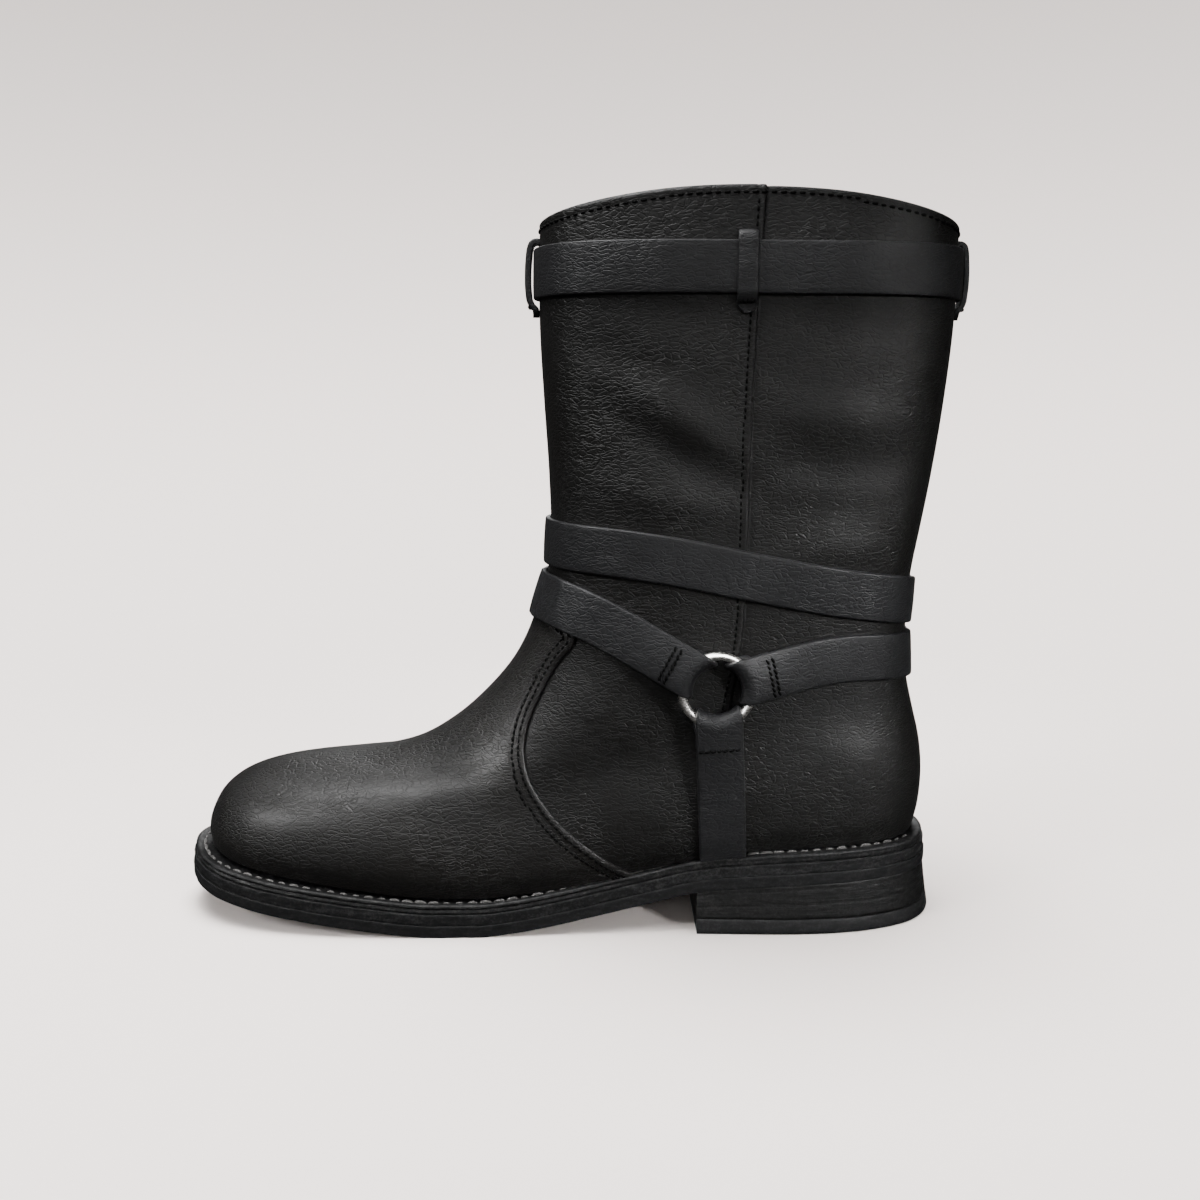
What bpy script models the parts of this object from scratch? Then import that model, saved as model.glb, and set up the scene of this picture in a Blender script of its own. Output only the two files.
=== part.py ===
"""Mid-calf harness boot for the right foot: a hollow leather upper on a welted sole.

Tables and sizes are in millimetres, with x from toe (-) to heel (+), y from the
inner side (-) to the outer side (+) and z up from the floor. The heel's middle
lies on y = 0. Meshes are made in metres about the middle of the boot's box.
"""

import math

import bmesh
import bpy
import numpy as np
from mathutils import Vector
from mathutils.bvhtree import BVHTree

MM = 0.001
BOOT_NAME = "harness_boot"
MIDDLE_X = 0.7
MIDDLE_Y = 7.4

# Sizes that drive the boot
GAP = 0.3
TOE_TIP = (-153.9, 4.0)
HEEL_TIP = (148.4, 0.0)
WALL = 2.2
LAP = 1.0
OUTSOLE_THICK = 4.6
MIDSOLE_THICK = 4.0
WELT_THICK = 3.0
WELT_WIDTH = 17.0
INSOLE_THICK = 3.5
INSOLE_SEAT = 0.5
MIDSOLE_INSET = 0.5
WELT_INSET = 1.2
HEEL_BREAST_X = 52.5
HEEL_LIFT_THICK = 5.8
HEEL_SEAT_INSET = 0.6
HEEL_FLARE = 3.0
VAMP_THICK = 1.3
STRAP_WIDTH = 18.0
STRAP_THICK = 2.0
STRAP_GAP = 0.4
STRAP_FOOT_GAP = 0.8
BELT_WIDTH = 18.6
LOOP_WIDTH = 7.4
LOOP_THICK = 1.4
RING_RADIUS = 13.2
RING_WIRE = 1.65
RING_LIFT = 4.7
RING_PLACE = (58.6, 97.4)
SHAFT_AXIS = (68.0, 0.0)

# How finely the surfaces are cut up
SOLE_SAMPLES = 60
FRONT_PANEL_SPANS = 14
BACK_PANEL_SPANS = 10
LAP_STEP = 0.03
VAMP_TOP_LEVEL = 0.62
VAMP_EDGE_SAMPLES = 24
VAMP_CUT_REACH = 90.0
BAND_SAMPLES = 44
BAND_COLUMNS = 3
CLEARING_PASSES = 4
STRAP_COLUMNS = 5
SIDE_STRAP_ROWS = 6
SIDE_RAY_START = 120.0
RAY_START = 300.0
SIDE_RAY_RISE = 2.5
RING_SEGMENTS = 24
RING_WIRE_SEGMENTS = 8
OUTLINE_STEP = 0.5
BREAST_SEARCH_SAMPLES = 2000
LEVEL_SAMPLES = 40
SHARP_DEGREES = 40.0
VAMP_CUT_MARGIN = 20.0

# Outline of the outsole from above: a row for each place along the foot
SOLE_OUTLINE = (
    # x, inner, outer
    (-146.0, -18.5, 26.5),
    (-137.0, -27.0, 35.0),
    (-120.0, -34.8, 44.3),
    (-100.0, -39.2, 51.0),
    (-76.0, -41.6, 56.5),
    (-54.0, -42.0, 58.6),
    (-34.0, -41.6, 58.2),
    (-10.0, -40.0, 55.5),
    (14.0, -38.0, 50.5),
    (34.0, -36.8, 46.0),
    (55.0, -36.5, 42.0),
    (75.0, -37.0, 39.6),
    (92.0, -37.0, 38.4),
    (108.0, -35.6, 36.2),
    (120.0, -33.0, 33.3),
    (129.0, -29.6, 29.7),
    (135.5, -26.0, 26.0),
    (141.0, -21.0, 21.0),
    (145.4, -14.0, 14.0),
)

# Height of the outsole's underside: toe spring, flat tread, arch and heel seat
SOLE_LINE = (
    # x, z
    (-154.0, 13.6),
    (-136.0, 10.0),
    (-121.0, 7.8),
    (-105.0, 5.8),
    (-87.0, 3.7),
    (-71.0, 1.9),
    (-58.0, 0.5),
    (-50.0, 0.0),
    (-30.0, 0.0),
    (-16.0, 1.6),
    (1.0, 4.6),
    (17.0, 8.0),
    (33.0, 11.6),
    (52.5, 16.0),
    (75.0, 18.2),
    (100.0, 19.6),
    (125.0, 20.2),
    (150.0, 20.4),
)

# Sections of the upper, from the feather line on the welt up to the collar. Each
# is a ring round the foot or leg through a front and a back point. The five half
# widths lie at HALF_WIDTH_SHARES of the way from front to back. "follow" is how
# much a ring runs parallel to the sole, "sway" how much it takes the foot's curve
# to the outer side, and "rise" how far its sides stand up between the two points.
HALF_WIDTH_SHARES = (0.06, 0.25, 0.5, 0.75, 0.94)
SECTIONS = (
    # front x, front z, back x, back z, seam x, five half widths, follow, sway, rise
    (-143.7, 25.9, 143.4, 32.9, 62.0, 26.0, 39.8, 38.4, 34.0, 24.2, 1.0, 1.0, 0.0),
    (-144.1, 32.0, 145.2, 41.0, 62.0, 27.6, 42.2, 40.6, 36.0, 25.6, 1.0, 1.0, 0.0),
    (-142.0, 38.8, 146.1, 50.0, 62.0, 27.0, 42.2, 40.8, 36.5, 25.9, 1.0, 1.0, 0.0),
    (-137.8, 45.4, 146.1, 58.0, 62.0, 25.0, 40.6, 40.0, 36.4, 25.8, 1.0, 1.0, 0.0),
    (-130.0, 51.0, 145.4, 65.5, 62.0, 21.8, 38.4, 38.8, 35.7, 25.2, 1.0, 1.0, 0.0),
    (-117.2, 55.0, 144.0, 73.0, 62.2, 18.0, 36.2, 37.4, 34.6, 24.4, 1.0, 0.95, 0.0),
    (-100.5, 56.6, 142.2, 80.0, 62.6, 16.8, 35.0, 36.4, 33.6, 23.6, 1.0, 0.9, 0.0),
    (-81.5, 58.0, 140.3, 87.5, 63.2, 17.0, 34.0, 35.6, 32.8, 22.9, 1.0, 0.8, 0.0),
    (-61.0, 63.2, 138.6, 95.0, 64.0, 17.2, 33.0, 35.0, 32.1, 22.3, 0.9, 0.65, 0.0),
    (-43.4, 73.4, 137.4, 104.0, 65.2, 17.0, 32.2, 34.6, 31.7, 21.9, 0.6, 0.5, 0.0),
    (-29.0, 86.3, 137.2, 113.0, 66.6, 17.0, 31.8, 34.4, 31.5, 21.7, 0.3, 0.35, 0.0),
    (-17.6, 100.2, 137.2, 122.0, 67.8, 17.8, 31.8, 34.2, 31.5, 21.7, 0.1, 0.2, 0.0),
    (-9.4, 117.2, 137.6, 132.0, 68.8, 19.0, 32.0, 34.0, 31.7, 21.8, 0.0, 0.1, 0.0),
    (-5.2, 135.0, 138.8, 142.0, 69.4, 20.2, 32.2, 33.8, 32.0, 22.0, 0.0, 0.0, 0.0),
    (-3.6, 153.0, 141.0, 155.0, 69.6, 21.2, 32.4, 33.7, 32.5, 22.3, 0.0, 0.0, 0.0),
    (-4.0, 174.0, 144.1, 174.0, 69.8, 21.8, 32.8, 33.7, 33.0, 22.7, 0.0, 0.0, 0.0),
    (-5.8, 204.0, 147.9, 204.0, 70.2, 22.3, 33.2, 33.9, 33.7, 23.2, 0.0, 0.0, 0.0),
    (-7.2, 231.0, 150.2, 231.0, 71.2, 22.7, 33.5, 34.1, 34.1, 23.5, 0.0, 0.0, 0.0),
    (-7.3, 252.0, 150.6, 250.5, 72.4, 22.8, 33.7, 34.2, 34.4, 23.6, 0.0, 0.0, 3.2),
    (-6.9, 270.0, 150.6, 267.3, 73.8, 22.8, 33.7, 34.2, 34.5, 23.6, 0.0, 0.0, 10.6),
)

# The foot's curve to the outer side, along the foot
FOOT_CURVE = (
    # x, y of the middle
    (-150.0, 4.0),
    (-110.0, 6.2),
    (-70.0, 7.8),
    (-30.0, 8.0),
    (5.0, 6.2),
    (40.0, 3.6),
    (75.0, 1.2),
    (105.0, 0.2),
    (150.0, 0.0),
)

# Upper edge of the vamp on the inner side, from the front middle to the welt
VAMP_EDGE = (
    # x, z
    (-7.0, 128.0),
    (0.0, 124.0),
    (6.4, 115.0),
    (-0.4, 104.0),
    (-7.4, 91.0),
    (-12.6, 78.2),
    (-13.8, 68.8),
    (-11.6, 59.3),
    (-6.0, 49.8),
    (3.4, 39.8),
    (15.0, 31.0),
    (30.0, 22.0),
)

# Straps round the leg: height of the middle line at angles from the back (0) to the front (180)
TOP_BELT_LINE = (
    # degrees, z
    (0.0, 250.4),
    (90.0, 251.0),
    (180.0, 251.4),
)
ANKLE_STRAP_LINE = (
    # degrees, z
    (0.0, 126.0),
    (10.0, 127.4),
    (35.0, 132.2),
    (54.0, 135.6),
    (90.0, 140.4),
    (110.0, 143.0),
    (132.0, 146.2),
    (147.0, 148.2),
    (165.0, 149.5),
    (180.0, 149.8),
)
HARNESS_FRONT_LINE = (
    # degrees, z
    (116.0, 103.4),
    (131.0, 110.0),
    (139.5, 114.6),
    (147.0, 119.1),
    (154.0, 123.2),
    (162.0, 126.8),
    (180.0, 128.6),
)
HARNESS_BACK_LINE = (
    # degrees, z
    (0.0, 104.6),
    (12.0, 106.0),
    (34.0, 107.6),
    (53.0, 106.0),
    (73.0, 103.4),
)
# Directions in which the three harness straps leave the ring, from +x towards +z
FRONT_STRAP_ANGLE = 151.0
BACK_STRAP_ANGLE = 14.0
SIDE_STRAP_ANGLE = 273.1
FOLD_END = 24.0
STRAP_LANDING = 37.0
FOLD_PRESS = 5.0
FOLD_RISE = 0.9

# Loops that hold the belt
BELT_LOOPS = (
    # side, degrees round the shaft
    ("back", 0.0),
    ("outer", 91.0),
    ("front", 180.0),
    ("inner", -91.0),
)
LOOP_PROFILE = (
    # belt edge (1 upper, -1 lower), distance past it, lies over the belt
    (1, 3.4, False),
    (1, 2.2, False),
    (1, 0.5, True),
    (-1, 0.5, True),
    (-1, 2.6, False),
    (-1, 6.0, False),
)

LEATHER_BLACK = (0.012, 0.011, 0.011, 1.0)
STRAP_CHARCOAL = (0.020, 0.020, 0.022, 1.0)
EDGE_BLACK = (0.014, 0.013, 0.013, 1.0)
INSOLE_TAN = (0.10, 0.075, 0.055, 1.0)
NICKEL = (0.72, 0.70, 0.67, 1.0)


def smooth_through(knots, values, places, period=None):
    """Read a smooth curve through the values at the knots, at other places."""
    knots = np.asarray(knots, dtype=float)
    values = np.asarray(values, dtype=float)
    places = np.asarray(places, dtype=float)
    if period is not None:
        knots = np.concatenate((knots[-2:] - period, knots, knots[:2] + period))
        values = np.concatenate((values[-2:], values, values[:2]))
    slopes = np.gradient(values, knots, axis=0)
    left = np.clip(np.searchsorted(knots, places, side="right") - 1, 0, len(knots) - 2)
    span = knots[left + 1] - knots[left]
    share = (places - knots[left]) / span
    if values.ndim > 1:
        shape = share.shape + (1,) * (values.ndim - 1)
        share = share.reshape(shape)
        span = span.reshape(shape)
    keep_left = (1 + 2 * share) * (1 - share) ** 2
    keep_right = share ** 2 * (3 - 2 * share)
    bend_left = share * (1 - share) ** 2 * span
    bend_right = share ** 2 * (share - 1) * span
    return (keep_left * values[left] + keep_right * values[left + 1]
            + bend_left * slopes[left] + bend_right * slopes[left + 1])


def columns(table):
    """Turn a table of rows into its columns."""
    return np.array(table, dtype=float).T


def sole_underside(x):
    """Height of the outsole's underside, never below the floor."""
    places, heights = columns(SOLE_LINE)
    return np.maximum(smooth_through(places, heights, x), 0.0)


def welt_top(x):
    """Height of the welt's upper face, where the upper and the insole rest."""
    return sole_underside(x) + OUTSOLE_THICK + MIDSOLE_THICK + WELT_THICK + 2 * GAP


def sole_outline(inset, breast_x=None):
    """Outline of the sole from above, moved inwards by the inset.

    It runs from the toe tip along the outer side to the heel tip and back along
    the inner side. With a breast it holds only the part behind that line.
    """
    x, inner, outer = columns(SOLE_OUTLINE)
    points = np.vstack((
        [TOE_TIP],
        np.column_stack((x, outer)),
        [HEEL_TIP],
        np.column_stack((x, inner))[::-1],
    ))
    steps = np.linalg.norm(np.roll(points, -1, axis=0) - points, axis=1)
    knots = np.concatenate(([0.0], np.cumsum(steps)))
    length = knots[-1]
    heel = knots[len(x) + 1]

    def read(places):
        ahead = smooth_through(knots[:-1], points, places + OUTLINE_STEP, length)
        behind = smooth_through(knots[:-1], points, places - OUTLINE_STEP, length)
        along = ahead - behind
        along /= np.linalg.norm(along, axis=1)[:, None]
        inwards = np.column_stack((along[:, 1], -along[:, 0]))
        return smooth_through(knots[:-1], points, places, length) + inwards * inset

    start, end = 0.0, length
    if breast_x is not None:
        fine = np.linspace(0.0, length, BREAST_SEARCH_SAMPLES)
        behind_breast = fine[read(fine)[:, 0] >= breast_x]
        start, end = behind_breast[0], behind_breast[-1]
    half = SOLE_SAMPLES // 2
    outer_half = np.linspace(start, heel, half + 1)
    inner_half = np.linspace(heel, end, half + 1)[1:]
    places = np.concatenate((outer_half, inner_half))
    outline = read(places)
    if breast_x is None:
        return outline[:-1]
    outline[[0, -1], 0] = breast_x
    return outline


def make_object(name, vertices, faces, material, closed=True):
    """Make a mesh object from points in millimetres, with its faces pointing out."""
    points = (np.asarray(vertices, dtype=float) - (MIDDLE_X, MIDDLE_Y, 0.0)) * MM
    mesh = bpy.data.meshes.new(name)
    mesh.from_pydata([tuple(point) for point in points], [], faces)
    shape = bmesh.new()
    shape.from_mesh(mesh)
    if closed:
        bmesh.ops.recalc_face_normals(shape, faces=shape.faces)
    else:
        axis = Vector((SHAFT_AXIS[0] - MIDDLE_X, SHAFT_AXIS[1] - MIDDLE_Y, 0.0)) * MM
        facing = 0.0
        for face in shape.faces:
            away = face.calc_center_median() - axis
            facing += face.normal.xy.dot(away.xy)
        if facing < 0.0:
            bmesh.ops.reverse_faces(shape, faces=shape.faces)
    shape.to_mesh(mesh)
    shape.free()
    mesh.shade_smooth()
    mesh.set_sharp_from_angle(angle=math.radians(SHARP_DEGREES))
    mesh.materials.append(material)
    piece = bpy.data.objects.new(name, mesh)
    BOOT.objects.link(piece)
    return piece


def grid_faces(rows, cols, closed=False):
    """Triangles of a grid of points, joined round the columns where it is closed."""
    faces = []
    spans = cols if closed else cols - 1
    for row in range(rows - 1):
        for col in range(spans):
            after = (col + 1) % cols
            low, low_after = row * cols + col, row * cols + after
            high, high_after = low + cols, low_after + cols
            faces.append((low, low_after, high_after))
            faces.append((low, high_after, high))
    return faces


def make_sheet(name, grid, thick, material, closed=False):
    """Make a sheet from a grid of points and thicken it outwards."""
    rows, cols = grid.shape[:2]
    faces = grid_faces(rows, cols, closed)
    piece = make_object(name, grid.reshape(-1, 3), faces, material, closed=False)
    shell = piece.modifiers.new("thickness", "SOLIDIFY")
    shell.thickness = thick * MM
    shell.offset = 1.0
    shell.use_even_offset = True
    return piece


def make_slab(name, top, bottom, material, has_breast=False):
    """Make a slab between two outlines, with rungs from side to side."""
    count = len(top)
    last = (count - 1) // 2 if has_breast else count // 2
    one_side = list(range(last + 1))
    if has_breast:
        other_side = [count - 1 - index for index in one_side]
    else:
        other_side = [(count - index) % count for index in one_side]
    faces = []
    for step in range(last):
        rung = (one_side[step], one_side[step + 1], other_side[step + 1], other_side[step])
        corners = list(dict.fromkeys(rung))
        faces.append(corners)
        faces.append([corner + count for corner in reversed(corners)])
    for index in range(count):
        after = (index + 1) % count
        faces.append((after, index, index + count, after + count))
    return make_object(name, np.vstack((top, bottom)), faces, material)


def with_height(outline, heights):
    """Give the points of an outline their heights."""
    return np.column_stack((outline, heights))


def make_sole():
    """Outsole, midsole and welt, one above the other along the sole's line."""
    outline = sole_outline(0.0)
    low = sole_underside(outline[:, 0])
    make_slab("outsole", with_height(outline, low + OUTSOLE_THICK),
              with_height(outline, low), SOLE_RUBBER)
    outline = sole_outline(MIDSOLE_INSET)
    low = sole_underside(outline[:, 0]) + OUTSOLE_THICK + GAP
    make_slab("midsole", with_height(outline, low + MIDSOLE_THICK),
              with_height(outline, low), SOLE_EDGE)
    edges = []
    for inset, height in ((WELT_INSET, 0.0), (WELT_INSET, -WELT_THICK),
                          (WELT_INSET + WELT_WIDTH, -WELT_THICK), (WELT_INSET + WELT_WIDTH, 0.0)):
        outline = sole_outline(inset)
        edges.append(with_height(outline, welt_top(outline[:, 0]) + height))
    grid = np.array(edges)
    rows, cols = grid.shape[:2]
    faces = grid_faces(rows, cols, closed=True)
    for col in range(cols):
        after = (col + 1) % cols
        faces.append(((rows - 1) * cols + col, (rows - 1) * cols + after, after, col))
    make_object("welt", grid.reshape(-1, 3), faces, SOLE_EDGE)


def make_heel():
    """Heel stack and top lift, flaring towards the floor behind a straight breast."""
    def heel_outline(height):
        seat = sole_underside(HEEL_BREAST_X)
        flare = HEEL_FLARE * (1 - height / seat)
        return sole_outline(HEEL_SEAT_INSET - flare, HEEL_BREAST_X)

    lift_top = heel_outline(HEEL_LIFT_THICK)
    floor = heel_outline(0.0)
    make_slab("heel_top_lift", with_height(lift_top, np.full(len(lift_top), HEEL_LIFT_THICK)),
              with_height(floor, np.zeros(len(floor))), SOLE_RUBBER, has_breast=True)
    seat = heel_outline(sole_underside(HEEL_BREAST_X))
    stack_base = heel_outline(HEEL_LIFT_THICK + GAP)
    make_slab("heel_stack", with_height(seat, sole_underside(seat[:, 0]) - GAP),
              with_height(stack_base, np.full(len(stack_base), HEEL_LIFT_THICK + GAP)),
              SOLE_EDGE, has_breast=True)


def upper_rings(around):
    """Points of every section at places round it.

    A place is 0 at the front middle, 1 on the outer side seam, -1 on the inner
    one and 2 at the back middle.
    """
    shares = np.arccos(1 - 2 * np.array(HALF_WIDTH_SHARES)) / math.pi
    knots = np.concatenate((-shares[::-1], [0.0], shares, [1.0]))
    curve_x, curve_y = columns(FOOT_CURVE)
    side = np.sign(around)
    place = np.abs(around)
    rings = []
    for section in SECTIONS:
        front_x, front_z, back_x, back_z, seam_x = section[:5]
        widths = np.array(section[5:10])
        follow, sway, rise = section[10:]
        seam = math.acos(1 - 2 * (seam_x - front_x) / (back_x - front_x)) / math.pi
        turn = np.where(place <= 1, place * seam, seam + (place - 1) * (1 - seam))
        share = (1 - np.cos(math.pi * turn)) / 2
        x = front_x + (back_x - front_x) * share
        half_widths = np.concatenate((-widths[::-1], [0.0], widths, [0.0]))
        y = smooth_through(knots, half_widths, side * turn, 2.0)
        y = y + sway * smooth_through(curve_x, curve_y, x)
        straight = front_z + (back_z - front_z) * share
        above_front = front_z - welt_top(front_x)
        above_back = back_z - welt_top(back_x)
        parallel = welt_top(x) + above_front + (above_back - above_front) * share
        z = straight + follow * (parallel - straight)
        to_seam = np.where(place <= 1, place, 2 - place)
        z = z + rise * (1 - np.cos(math.pi * to_seam)) / 2
        rings.append(np.column_stack((x, y, z)))
    return np.array(rings)


def section_levels():
    """How far up the upper each section lies, from 0 on the welt to 1 at the collar."""
    rings = upper_rings(np.linspace(-1.9, 1.9, LEVEL_SAMPLES))
    steps = np.linalg.norm(np.diff(rings, axis=0), axis=2).mean(axis=1)
    levels = np.concatenate(([0.0], np.cumsum(steps)))
    return levels / levels[-1]


def read_upper(around, up):
    """Points of the upper at places round it and levels up it."""
    rings = upper_rings(around)
    slopes = np.gradient(rings, LEVELS, axis=0)
    left = np.clip(np.searchsorted(LEVELS, up, side="right") - 1, 0, len(LEVELS) - 2)
    span = LEVELS[left + 1] - LEVELS[left]
    share = ((up - LEVELS[left]) / span)[:, None]
    span = span[:, None]
    each = np.arange(len(around))
    return ((1 + 2 * share) * (1 - share) ** 2 * rings[left, each]
            + share ** 2 * (3 - 2 * share) * rings[left + 1, each]
            + share * (1 - share) ** 2 * span * slopes[left, each]
            + share ** 2 * (share - 1) * span * slopes[left + 1, each])


def upper_points(around, up, lift=0.0):
    """Points on the upper, lifted off its surface, in the shape of the places given."""
    around, up = np.broadcast_arrays(np.asarray(around, dtype=float), np.asarray(up, dtype=float))
    shape = around.shape
    around = around.ravel()
    up = up.ravel()
    small = 1e-3
    points = read_upper(around, up)
    if lift != 0.0:
        ahead = read_upper(around + small, up) - read_upper(around - small, up)
        rising = read_upper(around, up + small) - read_upper(around, up - small)
        normal = np.cross(rising, ahead)
        points = points + normal * (lift / np.linalg.norm(normal, axis=1)[:, None])
    return points.reshape(shape + (3,))


def make_shell(name, outside, inside, material, closed):
    """Make a wall between an outer and an inner grid of points."""
    rows, cols = outside.shape[:2]
    count = rows * cols
    faces = grid_faces(rows, cols, closed)
    faces += [tuple(corner + count for corner in reversed(face)) for face in faces]
    rims = [[row * cols + col for col in range(cols)] for row in (0, rows - 1)]
    if closed:
        rims = [rim + rim[:1] for rim in rims]
    else:
        rims += [[row * cols + col for row in range(rows)] for col in (0, cols - 1)]
    for rim in rims:
        for here, after in zip(rim[:-1], rim[1:]):
            faces.append((here, after, after + count, here + count))
    points = np.vstack((outside.reshape(-1, 3), inside.reshape(-1, 3)))
    return make_object(name, points, faces, material)


def front_panel_places():
    """Places round the front panel, from the inner side seam to the outer one."""
    one_side = np.linspace(0.0, 1.0, FRONT_PANEL_SPANS + 1)
    return np.concatenate((-one_side[:0:-1], one_side))


def make_upper():
    """The hollow upper, open at the collar and underneath.

    The front panel laps over the back panel at both side seams, so its wall is
    thicker by the lap, with a step just behind each seam.
    """
    front = front_panel_places()
    back = np.linspace(1.0 + LAP_STEP, 3.0 - LAP_STEP, 2 * BACK_PANEL_SPANS + 1)
    back = np.where(back > 2.0, back - 4.0, back)
    up = LEVELS[:, None]
    outside = np.hstack((upper_points(front, up, LAP), upper_points(back, up)))
    inside = upper_points(np.concatenate((front, back)), up, -WALL)
    return make_shell("upper", outside, inside, BLACK_LEATHER, closed=True)


def make_vamp():
    """The vamp leather: a second wall over the front panel, cut along its seam."""
    front = front_panel_places()
    up = LEVELS[LEVELS < VAMP_TOP_LEVEL][:, None]
    inside = upper_points(front, up, LAP + GAP)
    outside = upper_points(front, up, LAP + GAP + VAMP_THICK)
    piece = make_shell("vamp", outside, inside, BLACK_LEATHER, closed=False)
    edge = np.array(VAMP_EDGE)
    steps = np.concatenate(([0.0], np.cumsum(np.linalg.norm(np.diff(edge, axis=0), axis=1))))
    curve = smooth_through(steps, edge, np.linspace(0.0, steps[-1], VAMP_EDGE_SAMPLES))
    far_ahead, far_below = TOE_TIP[0] - VAMP_CUT_MARGIN, -VAMP_CUT_MARGIN
    outline = np.vstack((curve, ((curve[-1, 0], far_below), (far_ahead, far_below),
                                 (far_ahead, curve[0, 1]))))
    count = len(outline)
    sides = [np.column_stack((outline[:, 0], np.full(count, y), outline[:, 1]))
             for y in (-VAMP_CUT_REACH, VAMP_CUT_REACH)]
    faces = [tuple(range(count)), tuple(range(2 * count - 1, count - 1, -1))]
    for index in range(count):
        after = (index + 1) % count
        faces.append((index, after, after + count, index + count))
    cutter = make_object("vamp_cutter", np.vstack(sides), faces, BLACK_LEATHER)
    BOOT.objects.unlink(cutter)
    CUTTERS.objects.link(cutter)
    cutter.hide_render = True
    cutter.display_type = "WIRE"
    cut = piece.modifiers.new("seam", "BOOLEAN")
    cut.operation = "INTERSECT"
    cut.solver = "EXACT"
    cut.object = cutter
    return piece


def make_insole():
    """The insole inside the upper, resting on the welt."""
    around = np.linspace(0.0, 4.0, SOLE_SAMPLES, endpoint=False)
    around = np.where(around > 2.0, around - 4.0, around)
    wall = upper_points(around, 0.0)
    ahead = np.roll(wall, -1, axis=0) - np.roll(wall, 1, axis=0)
    inwards = np.column_stack((ahead[:, 1], -ahead[:, 0]))
    inwards /= np.linalg.norm(inwards, axis=1)[:, None]
    outline = wall[:, :2] + inwards * (WALL + 2 * GAP)
    low = welt_top(outline[:, 0]) + INSOLE_SEAT
    make_slab("insole", with_height(outline, low + INSOLE_THICK),
              with_height(outline, low), INSOLE_LEATHER)


def surface_trees(pieces):
    """Search trees of the finished pieces, for laying straps on them."""
    graph = bpy.context.evaluated_depsgraph_get()
    return [BVHTree.FromObject(piece, graph) for piece in pieces]


def first_hit(trees, start, direction):
    """Nearest point of the pieces along a ray, in millimetres."""
    offset = np.array((MIDDLE_X, MIDDLE_Y, 0.0))
    origin = Vector((np.asarray(start) - offset) * MM)
    best = None
    for tree in trees:
        place, _normal, _index, distance = tree.ray_cast(origin, Vector(direction))
        if place is not None and (best is None or distance < best[0]):
            best = (distance, np.array(place) / MM + offset)
    return best[1]


def reach(trees, degrees, z):
    """Outermost point of the pieces seen from the shaft's axis at an angle and height."""
    out = np.array((math.cos(math.radians(degrees)), math.sin(math.radians(degrees)), 0.0))
    far = np.array((SHAFT_AXIS[0], SHAFT_AXIS[1], z)) + out * RAY_START
    return first_hit(trees, far, -out)


def angle_of(point):
    """Angle of a point round the shaft's axis, in degrees."""
    return math.degrees(math.atan2(point[1] - SHAFT_AXIS[1], point[0] - SHAFT_AXIS[0]))


def from_axis(point):
    """Distance of a point from the shaft's axis."""
    return math.hypot(point[0] - SHAFT_AXIS[0], point[1] - SHAFT_AXIS[1])


def lift_clear(rows, outwards, closed, shortfall):
    """Move the rows of a strap outwards until it clears what it lies on, between them too."""
    count = len(rows)
    for _ in range(CLEARING_PASSES):
        lifts = np.zeros(count)
        for here in range(count if closed else count - 1):
            after = (here + 1) % count
            for share in (0.0, 0.25, 0.5, 0.75):
                for point in rows[here] * (1 - share) + rows[after] * share:
                    short = shortfall(point)
                    lifts[here] = max(lifts[here], short)
                    lifts[after] = max(lifts[after], short)
        rows = rows + outwards[:, None, :] * lifts[:, None, None]
    return rows


def lay_band(trees, angles, heights, width, cols, closed):
    """Lay a band of leather on the pieces, straight across its width."""
    def shortfall(point):
        return from_axis(reach(trees, angle_of(point), point[2])) + STRAP_GAP - from_axis(point)

    middle = np.array([reach(trees, angle, z) for angle, z in zip(angles, heights)])
    along = np.gradient(middle, axis=0)
    if closed:
        along = np.roll(middle, -1, axis=0) - np.roll(middle, 1, axis=0)
    rows = []
    outwards = []
    for point, direction in zip(middle, along):
        direction = direction / np.linalg.norm(direction)
        out = np.array((direction[1], -direction[0], 0.0))
        out /= np.linalg.norm(out)
        if out[:2] @ (point[:2] - SHAFT_AXIS) < 0.0:
            out = -out
        upwards = np.cross(out, direction)
        if upwards[2] < 0.0:
            upwards = -upwards
        low = point - upwards * width / 2
        high = point + upwards * width / 2
        seats = [reach(trees, angle_of(edge), edge[2]) for edge in (low, high)]
        rows.append(np.linspace(seats[0], seats[1], cols))
        outwards.append(out)
    return lift_clear(np.array(rows), np.array(outwards), closed, shortfall)


def make_band(name, trees, line, width, material):
    """A closed band round the leg, the same on both sides."""
    angles = np.linspace(0.0, 360.0, BAND_SAMPLES, endpoint=False)
    degrees, heights = columns(line)
    folded = np.where(angles > 180.0, 360.0 - angles, angles)
    z = smooth_through(degrees, heights, folded)
    rows = lay_band(trees, angles, z, width, BAND_COLUMNS, closed=True)
    return make_sheet(name, rows.transpose(1, 0, 2), STRAP_THICK, material, closed=True)


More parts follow.
